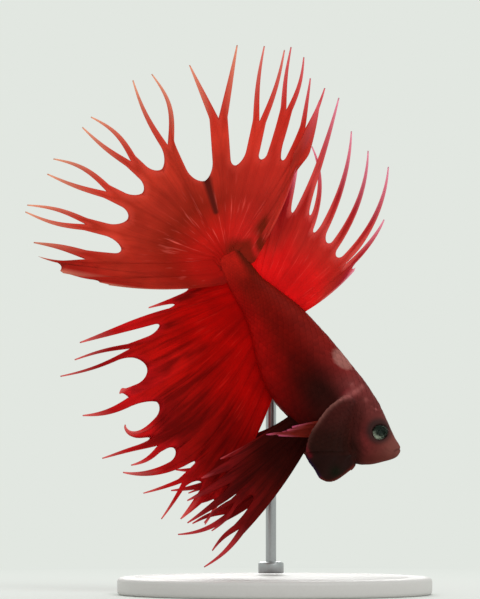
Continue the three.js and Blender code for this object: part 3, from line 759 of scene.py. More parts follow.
# Colours along the body from snout to tail root, evenly spaced: the back, the flank and the belly. The back's
# last colour, dark over the stalk's upper end, is partly the stalk's own and partly painted shade under the
# back fin's rear edge.
BACK = [paint(126, 74, 66), paint(110, 54, 50), paint(110, 46, 44), paint(122, 30, 27), paint(124, 24, 17),
        paint(122, 22, 11), paint(88, 25, 8)]
FLANK = [paint(122, 70, 62), paint(102, 44, 40), paint(72, 27, 23), paint(50, 10, 6), paint(110, 9, 4),
         paint(128, 17, 8), paint(132, 20, 9)]
BELLY = [paint(110, 56, 48), paint(86, 35, 30), paint(48, 20, 16), paint(102, 6, 4), paint(160, 9, 6),
         paint(158, 10, 6), paint(162, 18, 10)]
STALK_END = paint(190, 30, 20)
SNOUT = paint(124, 72, 64)
LIPS = paint(60, 26, 24)
EYE_SHADE = paint(48, 37, 35)
CHEEK = paint(108, 38, 38)
COVER_HIGH = paint(68, 25, 22)
COVER_LOW = paint(40, 17, 12)
BIB_TONE = paint(36, 17, 14)
BIB_SHADE = paint(14, 22, 10)
RIM_TONE = paint(132, 84, 76)
HEM_TONE = paint(120, 40, 30)
CRIMSON = paint(128, 18, 36)
STRIPE = [[5.2, 26.6], [5.3, 25.2], [6.0, 23.9]]  # a crimson stripe down the gill cover's lower corner
INDIGO = paint(30, 22, 78)
BIB_REAR = [[5.2, 23.4], [6.2, 22.0], [7.4, 20.2]]  # the membrane's rear edge, dark blue
# The pale oval on the nape, painted light falling from above: half its size along the back, across it and
# sideways, and the way out of the back.
NAPE_LIGHT = SimpleNamespace(
    x=11.73, z=40.4, long=2.15, short=1.55, sideways=2.5, outward=(0.64, 0.77), tone=paint(158, 100, 92),
)
# A pinkish patch behind the head: painted light falling from above.
SHOULDER_LIGHT = paint(128, 56, 54)
BLUSH = paint(140, 38, 44)
FLECK = paint(172, 98, 94)
# Pale flecks along the top of the right gill cover and on the brow: x, z, size and strength.
FLECKS = ((14.9, 35.6, 0.4, 0.7), (14.2, 35.0, 0.45, 0.6), (13.5, 34.7, 0.5, 0.65), (12.7, 34.2, 0.55, 0.7),
          (12.0, 33.8, 0.4, 0.5), (11.2, 33.5, 0.32, 0.4), (13.2, 36.0, 0.36, 0.45), (17.25, 31.8, 0.15, 0.9),
          (16.5, 32.3, 0.12, 0.5), (15.6, 33.4, 0.4, 0.25))


def markings(points):
    """The colours of skin and scales alike, worked out from where each point lies."""
    x, y, z = points.T
    f = skin_fields(points)
    t, share, cover, bib, right = (f[key] for key in ("row", "share", "cover", "bib", "right"))
    stops = t / LAST * (len(BACK) - 1)

    def spot(at_x, at_z, size, long_x=1.0, long_z=1.0):
        return bump(np.hypot((x - at_x) / long_x, (z - at_z) / long_z), size)

    cover_tone = mix(np.array([COVER_LOW]), np.array([COVER_HIGH]), ease((z - 25.5) / 7.5)[:, None])
    # Painted shade round the eye, which reaches a little further above and behind it.
    shade_round_eye = ease((2.8 - np.hypot(x - EYE.x + 0.2, z - EYE.z - 0.25)) / 1.3)
    lips = ease((x - 20.1) / 0.5) * bump(nearest(x, z, MOUTH, 40), 0.17)
    # The cover's dark tone runs over its hinge onto the cheek: a soft colour edge, and painted shade in the
    # crease where the cover leaves the cheek.
    hinge_tone_and_shade = 0.65 * bump(nearest(x, z, HINGE, 40), 1.5)
    throat = (1 - cover) * ease((15.8 - x) / 2.4) * ease((28.0 - z) / 3.0)
    # The painted light on the nape is an oval that lies along the back.
    off_x, off_z = x - NAPE_LIGHT.x, z - NAPE_LIGHT.z
    along = off_z * NAPE_LIGHT.outward[0] - off_x * NAPE_LIGHT.outward[1]
    across = off_x * NAPE_LIGHT.outward[0] + off_z * NAPE_LIGHT.outward[1]
    sideways = y - flank_at(NAPE_LIGHT.x, NAPE_LIGHT.z, -1)[0]
    oval = np.hypot(np.hypot(along / NAPE_LIGHT.long, across / NAPE_LIGHT.short), sideways / NAPE_LIGHT.sideways)
    # Each colour is laid over those before it, as far as its share says.
    layers = [
        (between(BACK, stops), ease((share - 0.05) / 0.85)),
        (between(BELLY, stops), ease((-share - 0.05) / 0.8)),
        # The stalk reddens towards the tail fin's root, save along its upper edge, which keeps the back's
        # dark colour and painted shade.
        (STALK_END, 0.85 * ease((t - 11.2) / 1.5) * ease((0.75 - share) / 0.5)),
        (SNOUT, spot(21.4, 25.4, 1.9)),
        (CHEEK, 0.75 * spot(15.4, 26.6, 1.0, 1.3, 2.6)),
        (EYE_SHADE, 0.85 * shade_round_eye),
        (LIPS, 0.5 * lips),
        (cover_tone, np.maximum(0.9 * cover, hinge_tone_and_shade)),
        # The throat darkens towards the gill cover's hinge and the bib.
        (COVER_LOW, 0.8 * throat),
        (BIB_TONE, 0.95 * bib),
        (BIB_SHADE, 0.8 * bib * spot(10.4, 21.1, 1.0)),
        (RIM_TONE, f["rim"] * mix(0.25, 0.9, ease((z - 27.5) / 4.0))),
        (HEM_TONE, 0.6 * f["hem"]),
        (INDIGO, 0.55 * bib * bump(nearest(x, z, BIB_REAR, 30), 0.4)),
        (CRIMSON, 0.5 * bump(nearest(x, z, STRIPE, 30), 0.4)),
        # The right flank alone carries the painted light on the nape and on the shoulder, the blush before
        # them and the flecks.
        (SHOULDER_LIGHT, 0.7 * right * spot(13.6, 36.0, 2.1)),
        (NAPE_LIGHT.tone, 0.9 * right * ease((1.14 - oval) / 0.26)),
        (BLUSH, 0.55 * right * spot(12.6, 34.6, 0.7, 1.5)),
    ]
    layers += [(FLECK, strength * right * spot(fx, fz, size)) for fx, fz, size, strength in FLECKS]
    colour = between(FLANK, stops)
    for over, part in layers:
        colour = mix(colour, np.atleast_2d(over), clamp(part)[:, None])
    return colour


def set_colours(bm):
    """Keeps each vertex's colour with it, for the skin's materials to read."""
    layer = bm.verts.layers.float_color.new("markings")
    colours = markings(np.array([v.co[:] for v in bm.verts]))
    for vert, colour in zip(bm.verts, colours):
        vert[layer] = colour


def build_skin(material):
    """Makes the one skin over body, jaw, gill covers and membranes, and returns a tree of its faces."""
    rough = bmesh.new()
    body_rings(rough)
    for out in (-1, 1):
        shell(rough, lambda u, v: cover_point(out, u, v), (1.1, 0.5), 30, 36)
        shell(rough, lambda u, v: bib_point(out, u, v), (0.5, 0.5), 36, 24, front=-0.25, top=-0.3)
        for x, row, aside, z, size in THROAT:
            lie = Matrix.Translation((x, bow(row) + out * aside, z)) @ Matrix.Diagonal((*size, 1))
            bmesh.ops.create_uvsphere(rough, u_segments=32, v_segments=20, radius=1, matrix=lie)
    sealed(rough)
    bm = remeshed(rough, VOXEL, 9)
    bm.normal_update()
    points = np.array([v.co[:] for v in bm.verts])
    normals = np.array([v.normal[:] for v in bm.verts])
    place(bm.verts, head_details(points, normals))
    bmesh.ops.smooth_vert(bm, verts=bm.verts, factor=0.25, use_axis_x=True, use_axis_y=True, use_axis_z=True)
    set_colours(bm)
    surface = BVHTree.FromBMesh(bm)
    flesh = ["head", "lower_jaw", "trunk", "tail_stalk"]
    flesh += [f"{part}_{side}" for part in ("gill_cover", "gill_membrane") for side in ("right", "left")]
    piece(bm, "skin", material, flesh)
    return surface


# ---------------------------------------------------------------- scales

SCALE = SimpleNamespace(across=4, down=4, sunk=-0.05, lift=0.045, half=0.018, overlap=1.8, wide=1.2)
SCALES_ROUND = 28
PITCH = SimpleNamespace(share=0.86, low=0.45, high=1.12)  # row to row: a share of a scale's width, in limits
COVER_ROWS = 9
COVER_SCALES = 11  # scales in each row on a gill cover
PATCH = 0.003  # a scale's size on the unwrap of the skin


def add_scale(bm, surface, root, rear, length, width, corner, tone, rise=1.0):
    """One scale: a lens-shaped shell lying on the skin, its front tucked under the scale before it.
    rise is how far it stands off the skin, from 0 to 1."""
    hit, normal, _, _ = surface.find_nearest(root)
    rear = (rear - normal * rear.dot(normal)).normalized()
    across = normal.cross(rear)
    tone_layer = bm.verts.layers.float["tone"]
    edge_layer = bm.verts.layers.float["edge"]
    unwrap = bm.loops.layers.uv["OFBake"]
    for face in (-1, 1):
        verts, u, v = grid_verts(bm, SCALE.across, SCALE.down)
        side = (u - 0.5) * width * (0.8 + 0.2 * ease(v * 2) - 0.3 * v ** 3)
        along = length * v * (1 - 0.42 * (2 * u - 1) ** 2)
        inside = np.minimum(np.minimum(u, 1 - u) * 2, np.minimum(v, 1 - v) * 2)
        height = rise * mix(SCALE.sunk, SCALE.lift, v) + face * SCALE.half * np.sqrt(clamp(inside))
        for vert, a, s, h, e in zip(verts, along, side, height, v):
            on_skin, lie, _, _ = surface.find_nearest(hit + rear * a + across * s)
            vert.co = on_skin + lie * h
            vert[tone_layer] = tone
            vert[edge_layer] = e
        where = {vert: (a, b) for vert, a, b in zip(verts, u, v)}
        for polygon in {polygon for vert in verts for polygon in vert.link_faces}:
            for loop in polygon.loops:
                a, b = where[loop.vert]
                loop[unwrap].uv = (corner[0] + PATCH * (a - 0.5), corner[1] + PATCH * (b - 0.5))


def ring_roots(t, count, shift):
    """Angles that divide the body's ring at row t into equal lengths, beginning on the back."""
    angles = np.linspace(90, 450, 181)
    points = skin(t, angles)
    run = np.concatenate(([0], np.cumsum(np.linalg.norm(np.diff(points, axis=0), axis=1))))
    wanted = (np.arange(count) + shift) / count * run[-1]
    return np.interp(wanted, run, angles), run[-1]


def scale_row():
    """An empty mesh for one row of scales, with the layers that every row has."""
    bm = bmesh.new()
    bm.verts.layers.float.new("tone")
    bm.verts.layers.float.new("edge")
    bm.loops.layers.uv.new("OFBake")
    return bm


def body_scales(rows, surface, rng):
    """Rows of scales from the face to the tail root, smallest at either end."""
    t, ring = 1.7, 0
    while t < LAST - 0.02:
        bm = scale_row()
        angles, girth = ring_roots(t, SCALES_ROUND, 0.5 * (ring % 2))
        # How many millimetres one of the spine's rows spans here.
        ends = between(SPINE, (t - 0.05, t + 0.05))[:, :2]
        row_length = float(np.linalg.norm(ends[1] - ends[0])) * 10
        pitch = float(np.clip(PITCH.share * girth / SCALES_ROUND, PITCH.low, PITCH.high))
        ahead = skin(t + 0.05, angles, -COAT)
        for angle, root, front in zip(angles, skin(t, angles, -COAT), ahead):
            tone = rng.random()
            away = np.hypot(root[0] - EYE.x, root[2] - EYE.z)
            # The eye's surround, the snout's end and the throat have no scales.
            bare = away < 2.35 or root[0] > 19.3 or (root[2] < 24.4 and t < 5)
            # Nor has what the gill covers and the bib hide.
            hit, normal, _, gap = surface.find_nearest(Vector(root))
            if bare or gap > 0.3 or surface.ray_cast(hit + normal * 0.3, normal, 6.0)[0] is not None:
                continue
            corner = (0.01 + 0.79 * (angle - 90) / 360, 0.01 + 0.98 * t / LAST)
            size = rng.uniform(0.94, 1.06)
            add_scale(bm, surface, Vector(root), Vector(front - root), pitch * SCALE.overlap * size,
                      girth / SCALES_ROUND * SCALE.wide * size, corner, tone, float(ease((t - 1.2) / 2)))
        rows.append(bm)
        t += pitch / row_length
        ring += 1


def cover_scales(rows, surface, rng):
    """Smaller scales in staggered rows over the outside of each gill cover."""
    for out in (-1, 1):
        for row in range(COVER_ROWS):
            bm = scale_row()
            rows.append(bm)
            for place_in_row in range(COVER_SCALES):
                u = 0.05 + 0.84 * row / (COVER_ROWS - 1)
                v = 0.05 + 0.86 * (place_in_row + 0.5 * (row % 2)) / COVER_SCALES
                uv = (np.array([u]), np.array([v]))
                root = cover_point(out, *uv)[0]
                front = cover_point(out, uv[0] + 0.04, uv[1])[0]
                down = cover_point(out, uv[0], uv[1] + 0.04)[0] - root
                outward = np.cross(down, front - root) * -out
                outward *= np.sign(outward[1]) * out / np.linalg.norm(outward)
                tone = rng.random()
                start = Vector(root + outward * 0.6)
                corner = (0.82 + 0.08 * (out + 1) / 2 + 0.08 * u, 0.02 + 0.9 * v)
                add_scale(bm, surface, start, Vector(front - root), 1.35, 1.12, corner, tone)


def build_scales(surface, material):
    """Makes all the scales and joins them into one piece."""
    rng = np.random.default_rng(7)
    rows = []
    body_scales(rows, surface, rng)
    cover_scales(rows, surface, rng)
    joined = scale_row()
    for bm in rows:
        bmesh.ops.remove_doubles(bm, verts=bm.verts, dist=1e-5)
        row = bpy.data.meshes.new("scale_row")
        bm.to_mesh(row)
        bm.free()
        joined.from_mesh(row)
        bpy.data.meshes.remove(row)
    bmesh.ops.recalc_face_normals(joined, faces=joined.faces)
    crisp(joined)
    set_colours(joined)
    piece(joined, "scales", material)


# ---------------------------------------------------------------- eyes

# Profiles from the middle of the eyeball and of the clear cap over it, as radius and height.
EYE_PROFILE = [
    (0, 0.66), (0.3, 0.66), (0.6, 0.64), (0.68, 0.66), (0.9, 0.6), (1.12, 0.5), (1.32, 0.34), (1.45, 0.12),
    (1.5, -0.1), (1.43, -0.45), (1.2, -0.8), (0.7, -1.05), (0, -1.15),
]
CORNEA_PROFILE = [
    (0, 0.95), (0.35, 0.935), (0.7, 0.88), (1.0, 0.78), (1.25, 0.6), (1.42, 0.4), (1.47, 0.24),
    (1.42, 0.22), (1.38, 0.34), (1.22, 0.53), (0.98, 0.7), (0.68, 0.8), (0.33, 0.86), (0, 0.875),
]


def eye_piece(profile, name, out, material, replaces):
    """Turns an eye profile and faces it out of the socket, a little forwards and up."""
    bm = bmesh.new()
    spun(bm, profile, 56)
    ring = bm.verts.layers.float.new("ring")
    painted_glint = bm.verts.layers.float.new("painted_glint")
    gaze = Vector((0.16, out, 0.1)).normalized()
    turn = Vector((0, 0, 1)).rotation_difference(gaze).to_matrix().to_4x4()
    centre = Matrix.Translation((EYE.x, bow(EYE.row) + out * EYE.out, EYE.z))
    for vert in bm.verts:
        vert[ring] = float(np.hypot(vert.co.x, vert.co.y)) / EYE.radius
    bmesh.ops.transform(bm, matrix=centre @ turn, verts=bm.verts)
    for vert in bm.verts:
        # A painted reflection: a pale crescent along the pupil's lower edge, towards the cheek.
        away = np.hypot(vert.co.x - EYE.x, vert.co.z - EYE.z)
        low = np.hypot(vert.co.x - EYE.x + 0.7, vert.co.z - EYE.z + 0.95)
        vert[painted_glint] = float(bump(low, 0.85) * bump(away - 1.15, 0.42))
    piece(bm, name, material, replaces)


# ---------------------------------------------------------------- materials


def node(tree, kind, inputs=(), **settings):
    """Adds a node, sets its properties, and links or fills its inputs."""
    made = tree.nodes.new(kind)
    for key, value in settings.items():
        setattr(made, key, value)
    for key, value in dict(inputs).items():
        if isinstance(value, bpy.types.NodeSocket):
            tree.links.new(value, made.inputs[key])
        else:
            made.inputs[key].default_value = value
    return made


def field(tree, name):
    return node(tree, "ShaderNodeAttribute", attribute_name=name).outputs["Fac"]


def ramp(tree, factor, stops):
    made = node(tree, "ShaderNodeValToRGB", {"Fac": factor})
    elements = made.color_ramp.elements
    while len(elements) < len(stops):
        elements.new(1)
    for element, (position, colour) in zip(elements, stops):
        element.position = position
        element.color = colour
    return made.outputs["Color"]


def blend(tree, factor, a, b):
    return node(tree, "ShaderNodeMix", {0: factor, 6: a, 7: b}, data_type="RGBA").outputs[2]


def maths(tree, operation, a, b):
    return node(tree, "ShaderNodeMath", {0: a, 1: b}, operation=operation).outputs[0]


def product(tree, first, *others):
    """The values multiplied by one another."""
    for other in others:
        first = maths(tree, "MULTIPLY", first, other)
    return first


def vector_maths(tree, operation, a, b, output=0):
    return node(tree, "ShaderNodeVectorMath", {0: a, 1: b}, operation=operation).outputs[output]


def brightened(tree, colour, value):
    return node(tree, "ShaderNodeHueSaturation", {"Value": value, "Color": colour}).outputs[0]


def relief(tree, height, strength, distance):
    settings = {"Height": height, "Strength": strength, "Distance": distance}
    return node(tree, "ShaderNodeBump", settings).outputs[0]


def shown(tree, shader, kind="Material"):
    """Makes a shader the surface of a material or a world."""
    node(tree, f"ShaderNodeOutput{kind}", {"Surface": shader.outputs[0]})


def seen(tree):
    """1 where the camera, a mirror or clear glass sees a thing, and 0 where only light reaches it."""
    rays = node(tree, "ShaderNodeLightPath").outputs
    direct = maths(tree, "MAXIMUM", rays["Is Camera Ray"], rays["Is Glossy Ray"])
    return maths(tree, "MAXIMUM", direct, rays["Is Transmission Ray"])


def spread(tree, value, low, high, to_low=0.0, to_high=1.0):
    """Turns low to high into to_low to to_high, and holds values beyond them at the ends."""
    made = node(tree, "ShaderNodeMapRange", {0: value, 1: low, 2: high, 3: to_low, 4: to_high})
    return made.outputs[0]


def new_material(name):
    material = bpy.data.materials.new(name)
    material.use_nodes = True
    material.node_tree.nodes.clear()
    return material, material.node_tree


def noise(tree, place_on, scale, detail=3.0):
    settings = {"Vector": place_on, "Scale": scale, "Detail": detail, "Roughness": 0.55}
    return node(tree, "ShaderNodeTexNoise", settings).outputs["Fac"]


def line_mark(tree, place_on, start, end, width):
    """1 on the line between two points of the side view, given in millimetres, falling to 0 beside it."""
    first = Vector((start[0], 0, start[1])) * MM
    run = Vector((end[0], 0, end[1])) * MM - first
    flat = vector_maths(tree, "MULTIPLY", place_on, (1, 0, 1))
    away = vector_maths(tree, "SUBTRACT", flat, first)
    along = vector_maths(tree, "DOT_PRODUCT", away, run.normalized(), "Value")
    along = node(tree, "ShaderNodeClamp", {0: along, 1: 0.0, 2: run.length}).outputs[0]
    foot = node(tree, "ShaderNodeVectorMath", {0: run.normalized(), "Scale": along}, operation="SCALE")
    gap = vector_maths(tree, "DISTANCE", away, foot.outputs[0], "Value")
    narrow = spread(tree, along, 0.0, run.length, width * MM, 0.55 * width * MM)
    return spread(tree, maths(tree, "DIVIDE", gap, narrow), 1.35, 0.45)


def fin_material(name, stops, tips, edge, dark, streak, streaks=0.5, lines=0.2, bands=0.2, fade=0.3,
                 inner=0.0, upper=None, fold=None):
    """Thin skin over rays: light comes through it, fine streaks follow the rays, and spikes fade at
    their tips. stops colour it from root to tip, tips and upper colour the spikes and the upper ones,
    edge the rim, dark the streaks and streak the pale dashes near the root. lines and bands are how dark
    the fine and the broad streaks are, streaks is how strong the dashes are, and fade is where along a
    spike the fading begins. inner is how strong the painted shade over the middle of the forward half
    is. fold holds the colour of a painted shade line where the web folds over itself, its two ends and
    its width, the colour of painted shade at the fin's upper root, and the tints of its lowest and
    highest webs."""
    material, tree = new_material(name)
    place_on = node(tree, "ShaderNodeTexCoord").outputs["Object"]
    along, across, rays, spike = (field(tree, key) for key in ("along", "across", "ray", "spike"))

    def drawn_out(over, down, detail):
        """Noise stretched along the rays."""
        stretched = {0: product(tree, across, over), 1: product(tree, along, down)}
        return noise(tree, node(tree, "ShaderNodeCombineXYZ", stretched).outputs[0], 1.0, detail)

    fine = drawn_out(170.0, 1.0, 3.0)
    patches = noise(tree, place_on, 160.0, 2.0)
    base = ramp(tree, along, stops)
    base = blend(tree, spread(tree, patches, 0.42, 0.72, 0.0, 0.3), base, dark)
    band = spread(tree, drawn_out(26.0, 2.6, 2.0), 0.45, 0.62)
    base = blend(tree, product(tree, band, spread(tree, along, 0.12, 0.4), bands), base, dark)
    # Painted shade over the middle of the forward half, as strong as inner.
    middle = product(tree, spread(tree, along, 0.15, 0.4), spread(tree, along, 0.85, 0.6))
    middle = product(tree, middle, spread(tree, across, 0.6, 0.35, 0.0, inner))
    base = blend(tree, middle, base, dark)
    near_root = product(tree, spread(tree, along, 0.03, 0.12), spread(tree, along, 0.42, 0.22))
    dash = spread(tree, drawn_out(64.0, 6.0, 2.0), 0.58, 0.74)
    base = blend(tree, product(tree, dash, near_root, streaks), base, streak)
    base = blend(tree, spread(tree, fine, 0.45, 0.75, 0.0, lines), base, dark)
    base = blend(tree, product(tree, rays, 0.7 * lines), base, dark)
    fringe = tips if upper is None else blend(tree, spread(tree, across, 0.62, 0.8), tips, upper)
    base = blend(tree, spread(tree, spike, fade, 1.0, 0.0, 0.95), base, fringe)
    rim = product(tree, spread(tree, field(tree, "edge"), 0.7, 0.1), spread(tree, spike, 0.9, 0.3))
    rim = product(tree, rim, spread(tree, along, 0.25, 0.45, 0.0, 0.6))
    base = blend(tree, rim, base, edge)
    if fold:
        low = blend(tree, spread(tree, across, 0.16, 0.04, 0.0, 0.45), base, fold.low)
        base = blend(tree, spread(tree, across, 0.5, 0.75, 0.0, 0.4), low, fold.high)
        # A painted shade line where the web folds over itself.
        base = blend(tree, line_mark(tree, place_on, *fold.ends, fold.width), base, fold.colour)
        # Painted shade at the upper root: a strip along the upper edge a little out from the root, and the
        # upper part of the root itself.
        shaded_strip = product(tree, spread(tree, across, 0.87, 0.93), spread(tree, along, 0.26, 0.19))
        shaded_strip = product(tree, shaded_strip, spread(tree, along, 0.08, 0.14))
        shaded_heart = product(tree, spread(tree, across, 0.45, 0.7), spread(tree, along, 0.07, 0.02), 0.8)
        root = maths(tree, "MAXIMUM", shaded_strip, shaded_heart)
        base = blend(tree, product(tree, root, 0.85), base, fold.shade)
    grain = relief(tree, fine, 0.3, 0.0001)
    front = node(tree, "ShaderNodeBsdfPrincipled", {
        "Base Color": base, "Roughness": 0.5, "Normal": grain, "Specular IOR Level": 0.03,
    })
    glow = brightened(tree, base, 1.25)
    through = node(tree, "ShaderNodeBsdfTranslucent", {"Color": glow, "Normal": grain})
    both = node(tree, "ShaderNodeMixShader", {0: 0.55, 1: front.outputs[0], 2: through.outputs[0]})
    shown(tree, both)
    return material


def plain_material(name, colour, roughness, metallic=0.0):
    """Paint or metal of one colour, its shine a little uneven."""
    material, tree = new_material(name)
    place_on = node(tree, "ShaderNodeTexCoord").outputs["Object"]
    grain = noise(tree, place_on, 2500.0, 2.0)
    tone = blend(tree, spread(tree, grain, 0.3, 0.7, 0.0, 0.05), colour, paint(255, 255, 255))
    worn = spread(tree, noise(tree, place_on, 220.0), 0.3, 0.7, roughness * 0.95, roughness * 1.05)
    shown(tree, node(tree, "ShaderNodeBsdfPrincipled", {
        "Base Color": tone, "Roughness": worn, "Metallic": metallic,
    }))
    return material


def skin_material(name, scaled):
    """Wet-looking skin in the fish's markings; scales are a touch paler towards their free edge."""
    material, tree = new_material(name)
    place_on = node(tree, "ShaderNodeTexCoord").outputs["Object"]
    base = node(tree, "ShaderNodeAttribute", attribute_name="markings").outputs["Color"]
    value = spread(tree, noise(tree, place_on, 420.0), 0.3, 0.7, 0.84, 1.12)
    if scaled:
        value = product(tree, value, spread(tree, field(tree, "tone"), 0.0, 1.0, 0.92, 1.07))
        value = product(tree, value, spread(tree, field(tree, "edge"), 0.45, 1.0, 0.92, 1.1))
    grain = relief(tree, noise(tree, place_on, 3200.0, 2.0), 0.25, 0.00006)
    shown(tree, node(tree, "ShaderNodeBsdfPrincipled", {
        "Base Color": brightened(tree, base, value), "Roughness": 0.5, "Normal": grain,
        "Specular IOR Level": 0.03,
    }))
    return material


def eye_material(name):
    """A black pupil in a dark green iris, with a painted reflection low down."""
    material, tree = new_material(name)
    place_on = node(tree, "ShaderNodeTexCoord").outputs["Object"]
    base = ramp(tree, field(tree, "ring"), [
        (0.0, paint(12, 24, 18)), (0.42, paint(13, 24, 18)), (0.5, paint(20, 34, 25)),
        (0.72, paint(27, 36, 28)), (0.88, paint(38, 36, 31)), (1.0, paint(40, 30, 27)),
    ])
    # The painted reflection, pale, low on the eye.
    base = blend(tree, product(tree, field(tree, "painted_glint"), 0.95), base, paint(186, 196, 174))
    flecked = spread(tree, noise(tree, place_on, 2600.0, 2.0), 0.35, 0.65, 0.85, 1.15)
    shown(tree, node(tree, "ShaderNodeBsdfPrincipled", {
        "Base Color": brightened(tree, base, flecked), "Roughness": 0.45, "Specular IOR Level": 0.1,
    }))
    return material


def cornea_material(name):
    """Clear and wet, and hardly bending the light."""
    material, tree = new_material(name)
    shown(tree, node(tree, "ShaderNodeBsdfPrincipled", {
        "Base Color": (1, 1, 1, 1), "Roughness": 0.06, "Transmission Weight": 1.0, "IOR": 1.05,
        "Specular IOR Level": 0.5,
    }))
    return material


# ---------------------------------------------------------------- stand

ROD = SimpleNamespace(radius=0.9, x=-0.6, y=13, foot=3.3, bend=4, top=43.4)


def stand_base(material):
    """A round base with a rounded edge and a shallow groove round its top."""
    bm = bmesh.new()
    spun(bm, [
        (0, 0), (26.4, 0), (26.75, 0.1), (26.95, 0.35), (27, 0.7), (27, 2.3), (26.9, 2.62), (26.65, 2.87),
        (26.3, 2.97), (26.0, 3.0), (23.4, 3.0), (23.3, 2.9), (23.1, 2.9), (23.0, 3.0), (0, 3.0),
    ], 160)
    piece(bm, "stand_base_smooth", material, ["stand_base"])


def stand_rod(material):
    """A round steel rod that stands behind the fish and bends over to the pad on its left flank."""
    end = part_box("stand_pad")[1].y / MM
    straight = ROD.top - ROD.bend - ROD.foot
    arc = ROD.bend * np.pi / 2
    whole = straight + arc + ROD.y - ROD.bend - end
    bm = bmesh.new()
    # The first and the last row of faces close the rod's ends.
    rows = 92
    verts, u, v = grid_verts(bm, 32, rows)
    along = whole * clamp((rows * v - 1) / (rows - 2))
    turn = clamp((along - straight) / arc) * np.pi / 2
    past = np.maximum(along - straight - arc, 0)
    y = ROD.y - ROD.bend * (1 - np.cos(turn)) - past
    z = ROD.foot + np.minimum(along, straight) + ROD.bend * np.sin(turn)
    reach = ROD.radius * np.where(np.minimum(v, 1 - v) * rows < 0.5, 0.0, 1.0)
    side = reach * np.cos(2 * np.pi * u)
    over = reach * np.sin(2 * np.pi * u)
    place(verts, np.column_stack((ROD.x + side, y + over * np.cos(turn), z + over * np.sin(turn))))
    sealed(bm)
    crisp(bm)
    piece(bm, "stand_rod_smooth", material, ["stand_rod"])


def stand_collar(material):
    """The collar round the rod's foot."""
    bm = bmesh.new()
    spun(bm, [
        (0.95, 0), (2.1, 0), (2.2, 0.1), (2.2, 1.6), (2.14, 1.76), (1.84, 1.96), (1.7, 2.0),
        (0.95, 2.0), (0.95, 0),
    ], 64)
    crisp(bm)
    bmesh.ops.translate(bm, vec=(ROD.x, ROD.y, ROD.foot), verts=bm.verts)
    piece(bm, "stand_collar_smooth", material, ["stand_collar"])


def stand_pad(material):
    """The disc at the rod's upper end, turned to face the fish's left flank."""
    bm = bmesh.new()
    spun(bm, [
        (0, -0.28), (1.6, -0.28), (1.7, -0.18), (1.7, 0.45), (1.62, 0.55), (1.0, 0.85), (0.9, 0.9), (0, 0.9),
    ], 64)
    crisp(bm)
    turn = Matrix.Rotation(-np.pi / 2, 4, "X")
    move = Matrix.Translation((ROD.x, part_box("stand_pad")[0].y / MM, ROD.top))
    bmesh.ops.transform(bm, matrix=move @ turn, verts=bm.verts)
    piece(bm, "stand_pad_smooth", material, ["stand_pad"])


# ---------------------------------------------------------------- build

red_skin = skin_material("fish_skin", False)
scale_skin = skin_material("fish_scales", True)
# The fold line and the shade at the upper root are painted shade; low and high tint the lowest and the
# highest webs.
TAIL_FOLD = SimpleNamespace(
    ends=((-11.9, 72.0), (-10.1, 65.6)), width=0.8, colour=paint(122, 42, 33), shade=paint(134, 46, 22),
    low=paint(176, 28, 22), high=paint(218, 66, 60),
)
tail_finish = fin_material("tail_web", [
    (0.0, paint(196, 36, 28)), (0.12, paint(208, 46, 36)), (0.27, paint(176, 56, 36)),
    (0.42, paint(202, 74, 54)), (0.58, paint(218, 88, 64)), (0.75, paint(206, 72, 54)),
    (1.0, paint(198, 60, 48)),
], tips=paint(240, 196, 170), edge=paint(222, 104, 86), dark=paint(134, 28, 15), streak=paint(240, 130, 116),
    streaks=0.8, upper=paint(238, 170, 186), fold=TAIL_FOLD)
back_finish = fin_material("back_web", [
    (0.0, paint(232, 34, 36)), (0.16, paint(224, 44, 42)), (0.32, paint(204, 62, 52)),
    (0.5, paint(196, 62, 58)), (0.8, paint(192, 56, 80)), (1.0, paint(214, 110, 136)),
], tips=paint(238, 180, 198), edge=paint(236, 130, 122), dark=paint(156, 26, 22), streak=paint(236, 100, 90),
    streaks=0.5, lines=0.14)
# inner gives the anal fin painted shade over the middle of its forward half.
anal_finish = fin_material("anal_web", [
    (0.0, paint(190, 12, 8)), (0.3, paint(200, 18, 12)), (0.55, paint(204, 32, 26)),
    (0.8, paint(210, 36, 38)), (1.0, paint(210, 50, 56)),
], tips=paint(230, 140, 136), edge=paint(206, 34, 40), dark=paint(84, 10, 8), streak=paint(214, 54, 44),
    streaks=0.5, lines=0.25, bands=0.5, fade=0.5, inner=0.35)
breast_finish = fin_material("breast_web", [
    (0.0, paint(62, 19, 13)), (0.3, paint(82, 20, 14)), (0.5, paint(126, 25, 21)), (0.75, paint(186, 38, 40)),
    (1.0, paint(206, 60, 66)),
], tips=paint(220, 96, 102), edge=paint(140, 22, 20), dark=paint(42, 12, 9), streak=paint(120, 36, 28),
    streaks=0.3, lines=0.25, bands=0.45, fade=0.65)
clear_finish = fin_material("clear_web", [
    (0.0, paint(168, 56, 42)), (0.45, paint(176, 62, 50)), (0.75, paint(206, 104, 108)),
    (1.0, paint(228, 130, 158)),
], tips=paint(220, 110, 150), edge=paint(170, 62, 60), dark=paint(110, 28, 24), streak=paint(160, 64, 60),
    streaks=0.2, lines=0.1, bands=0.0)
eye_finish = eye_material("eye_iris")
clear_eye = cornea_material("eye_cornea")
base_finish = plain_material("base_paint", paint(206, 204, 200), 0.5)

